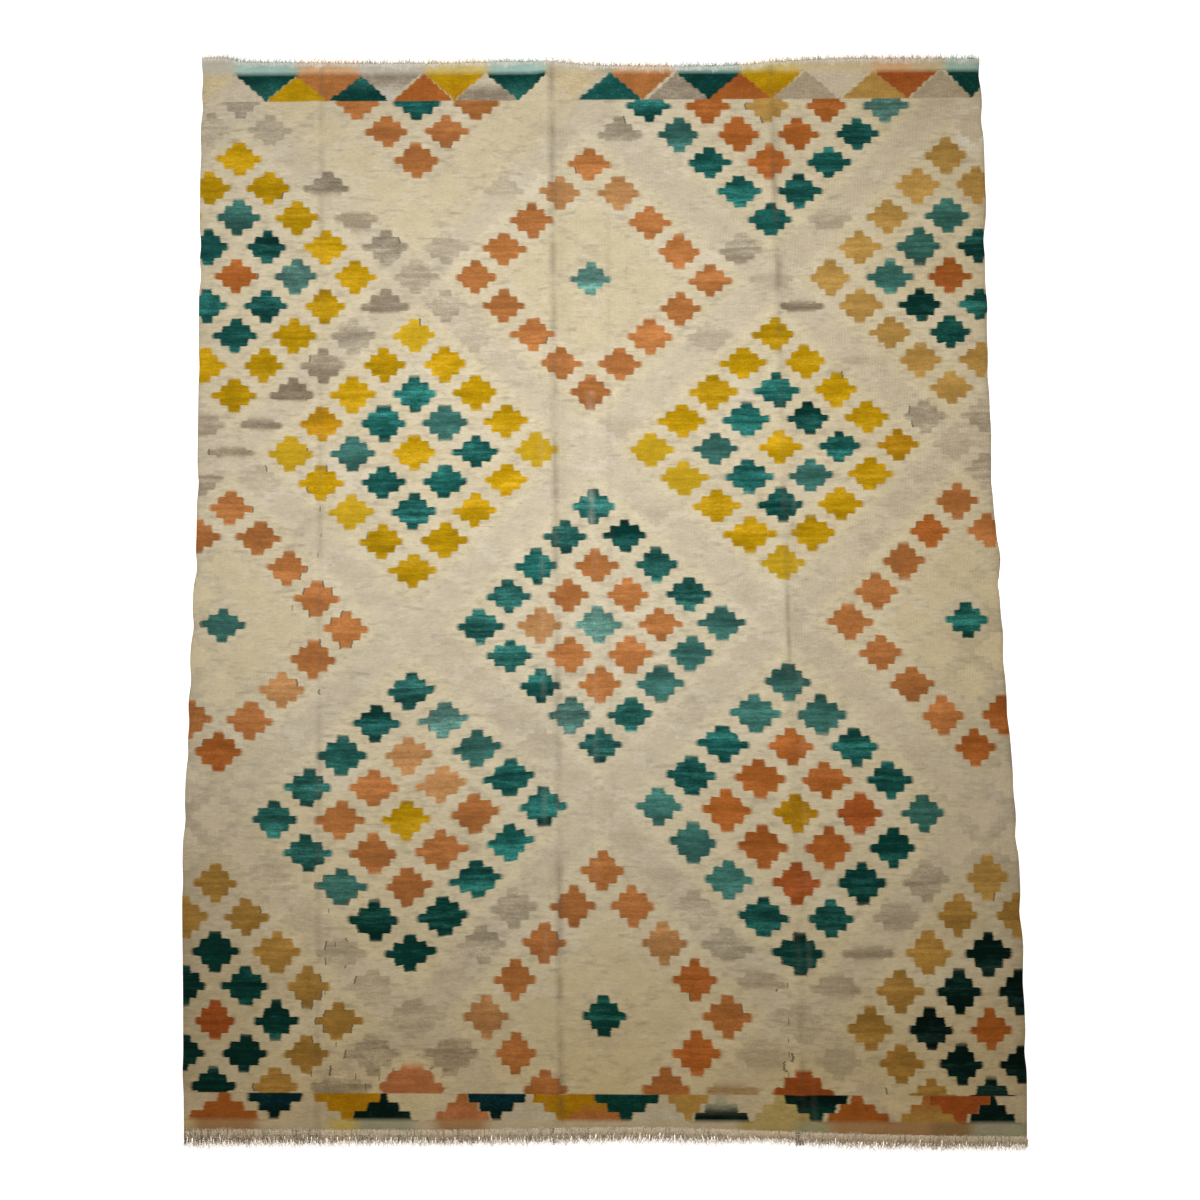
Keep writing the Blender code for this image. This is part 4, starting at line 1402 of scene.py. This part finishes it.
def fringe_mesh():
    chance = random.Random(FRINGE_SEED)
    pile = YarnPile()
    left = value_at(SELVEDGES, "y", "left", -1.0)
    right = value_at(SELVEDGES, "y", "right", -1.0)
    lay_locks(pile, chance, left, right)
    for _ in range(FIBRE_COUNT):
        x = chance.uniform(left - SIDE_MARGIN, right + SIDE_MARGIN)
        edge = value_at(NEAR_EDGE, "x", "y", x)
        length = value_at(LOCK_RULE, "x", "length", x)
        start = (x, edge - length * chance.uniform(*FIBRE_STARTS), chance.uniform(*FIBRE_HEIGHTS))
        aim = -0.5 * math.pi + chance.uniform(-FIBRE_SPREAD, FIBRE_SPREAD)
        radius = FIBRE_RADIUS * chance.uniform(*FIBRE_WIDTHS)
        tint = FIBRE_TONE * yarn_tint(chance, NEAR_TINTS, x, FIBRE_TINT_PART)
        lay_fibre(pile, chance, start, aim, chance.uniform(*FIBRE_LENGTHS), radius, tint)
    return pile.mesh("rug_fringe")


def hair_mesh():
    """Cut warp ends of the far edge: most are short, and a few reach out."""
    chance = random.Random(HAIR_SEED)
    pile = YarnPile()
    for _ in range(HAIR_COUNT):
        x = chance.uniform(SELVEDGES[0].left + SIDE_MARGIN, SELVEDGES[0].right - SIDE_MARGIN)
        edge = value_at(FAR_EDGE, "x", "y", x)
        length = HAIR_SHORTEST + min(chance.expovariate(1.0 / HAIR_REACH), HAIR_LIMIT)
        height = HAIR_HEIGHT + chance.uniform(-HAIR_LEVELS, HAIR_LEVELS)
        aim = 0.5 * math.pi + chance.uniform(-HAIR_SPREAD, HAIR_SPREAD)
        radius = HAIR_RADIUS * chance.uniform(*FIBRE_WIDTHS)
        tint = yarn_tint(chance, FAR_TINTS, x, HAIR_TINT_PART)
        lay_fibre(pile, chance, (x, edge - HAIR_ROOT, height), aim, length, radius, tint)
    return pile.mesh("far_end_hairs")


FIBRES = Noise(900.0, 260.0, 3.0)
FIBRE_SHADE = (0.25, 0.75, 0.86, 1.10)
COTTON_SOIL = Noise(60.0, 60.0, 3.0)
COTTON_SOIL_SHADE = (0.3, 0.7, 0.90, 1.05)
COTTON_ROUGHNESS = (0.2, 0.8, 0.78, 0.95)
FIBRE_RELIEF = (0.0002, 0.6)
YARN_GLOW = 0.0             # how much light passes through the yarns
HAIR_GLOW = 0.4             # and through the thin hairs


def cotton_material(name, glow):
    """Cotton warp; glow is how much light passes through it."""
    graph = Graph(name)
    fibre = graph.noise(FIBRES)
    shade = graph.ramp(fibre, *FIBRE_SHADE) * graph.ramp(graph.noise(COTTON_SOIL), *COTTON_SOIL_SHADE)
    return graph.dress({
        "Base Color": graph.mix(1.0, graph.attribute("tint")["Color"], graph.grey(shade), "MULTIPLY"),
        "Roughness": graph.ramp(fibre, *COTTON_ROUGHNESS),
        "Specular IOR Level": 0.10,
        "Sheen Weight": 0.15,
        "Sheen Roughness": 0.6,
        "Subsurface Weight": glow,
        "Subsurface Radius": (1.0, 0.9, 0.8),
        "Subsurface Scale": 0.003,
        "Normal": graph.bump(fibre, *FIBRE_RELIEF),
    })


def add_piece(name, mesh, material):
    piece = bpy.data.objects.new(name, mesh)
    mesh.materials.append(material)
    bpy.context.scene.collection.objects.link(piece)
    return piece


def build_cloth():
    points, faces = cloth_mesh()
    mesh = bpy.data.meshes.new("rug_cloth")
    mesh.from_pydata(points.tolist(), [], faces.tolist())
    add_pattern(mesh, points)
    mesh.shade_smooth()
    return add_piece("rug_cloth", mesh, wool_material())


# ---- Floor, lights and camera ----
FLOOR_HALF = 6.0
FLOOR_CORNERS = ((-1.0, -1.0), (1.0, -1.0), (1.0, 1.0), (-1.0, 1.0))
FLOOR_DEPTH = 0.0004        # it lies this far below the rug
FLOOR_GRAIN = Noise(30.0, 30.0, 4.0)
FLOOR_TONE = (0.3, 0.7, 0.90, 0.93)
FLOOR_GLOW = 0.75           # the photo's floor is white all over
KEY_PLACE = (-0.07, 0.34, 1.60)
KEY_SIZE = 0.7
KEY_POWER = 22.5
KEY_COLOUR = (1.0, 1.0, 1.0)
FILL_PLACE = (-2.2, 1.2, 0.85)
FILL_SIZE = 1.4
FILL_TARGET = (0.0, 0.3, 0.0)
FILL_POWER = 6.5
FILL_COLOUR = (1.0, 0.99, 0.97)
SKY_COLOUR = (1.0, 0.84, 0.60, 1.0)
SKY_GLOW = 0.18
CAMERA_PLACE = (0.0025, -0.22375, 2.155)
CAMERA_TILT = 5.0
CAMERA_LENS = 35.0


def build_floor():
    mesh = bpy.data.meshes.new("floor")
    corners = [(x * FLOOR_HALF, y * FLOOR_HALF, -FLOOR_DEPTH) for x, y in FLOOR_CORNERS]
    mesh.from_pydata(corners, [], [(0, 1, 2, 3)])
    graph = Graph("pale_floor")
    material = graph.dress({
        "Base Color": graph.grey(graph.ramp(graph.noise(FLOOR_GRAIN), *FLOOR_TONE)),
        "Roughness": 0.9,
        "Specular IOR Level": 0.0,
        "Emission Color": (1.0, 1.0, 1.0, 1.0),
        "Emission Strength": FLOOR_GLOW,
    })
    floor = add_piece("floor", mesh, material)


def add_light(name, place, target, size, power, colour):
    lamp = bpy.data.lights.new(name, "AREA")
    lamp.size = size
    lamp.energy = power
    lamp.color = colour
    item = bpy.data.objects.new(name, lamp)
    item.location = place
    aim = np.array(target) - np.array(place)
    item.rotation_euler = (math.atan2(math.hypot(aim[0], aim[1]), -aim[2]), 0.0, math.atan2(-aim[0], aim[1]))
    item.visible_camera = False
    bpy.context.scene.collection.objects.link(item)


def build_lights():
    add_light("key", KEY_PLACE, (*KEY_PLACE[:2], 0.0), KEY_SIZE, KEY_POWER, KEY_COLOUR)
    add_light("fill", FILL_PLACE, FILL_TARGET, FILL_SIZE, FILL_POWER, FILL_COLOUR)
    world = bpy.data.worlds.new("studio")
    world.use_nodes = True
    sky = world.node_tree.nodes["Background"]
    sky.inputs["Color"].default_value = SKY_COLOUR
    sky.inputs["Strength"].default_value = SKY_GLOW
    bpy.context.scene.world = world
    bpy.context.scene.view_settings.view_transform = "Standard"


def build_camera():
    lens = bpy.data.cameras.new("camera")
    lens.lens = CAMERA_LENS
    lens.clip_start = 0.05
    camera = bpy.data.objects.new("camera", lens)
    camera.location = CAMERA_PLACE
    camera.rotation_euler = (math.radians(CAMERA_TILT), 0.0, 0.0)
    bpy.context.scene.collection.objects.link(camera)
    bpy.context.scene.camera = camera


build_camera()
build_lights()
build_floor()
cloth = build_cloth()
fringe = add_piece("rug_fringe", fringe_mesh(), cotton_material("warp_cotton", YARN_GLOW))
hairs = add_piece("far_end_hairs", hair_mesh(), cotton_material("warp_fuzz", HAIR_GLOW))
for piece in (cloth, fringe, hairs):
    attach(piece, "root")
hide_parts("field")
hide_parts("fringe")
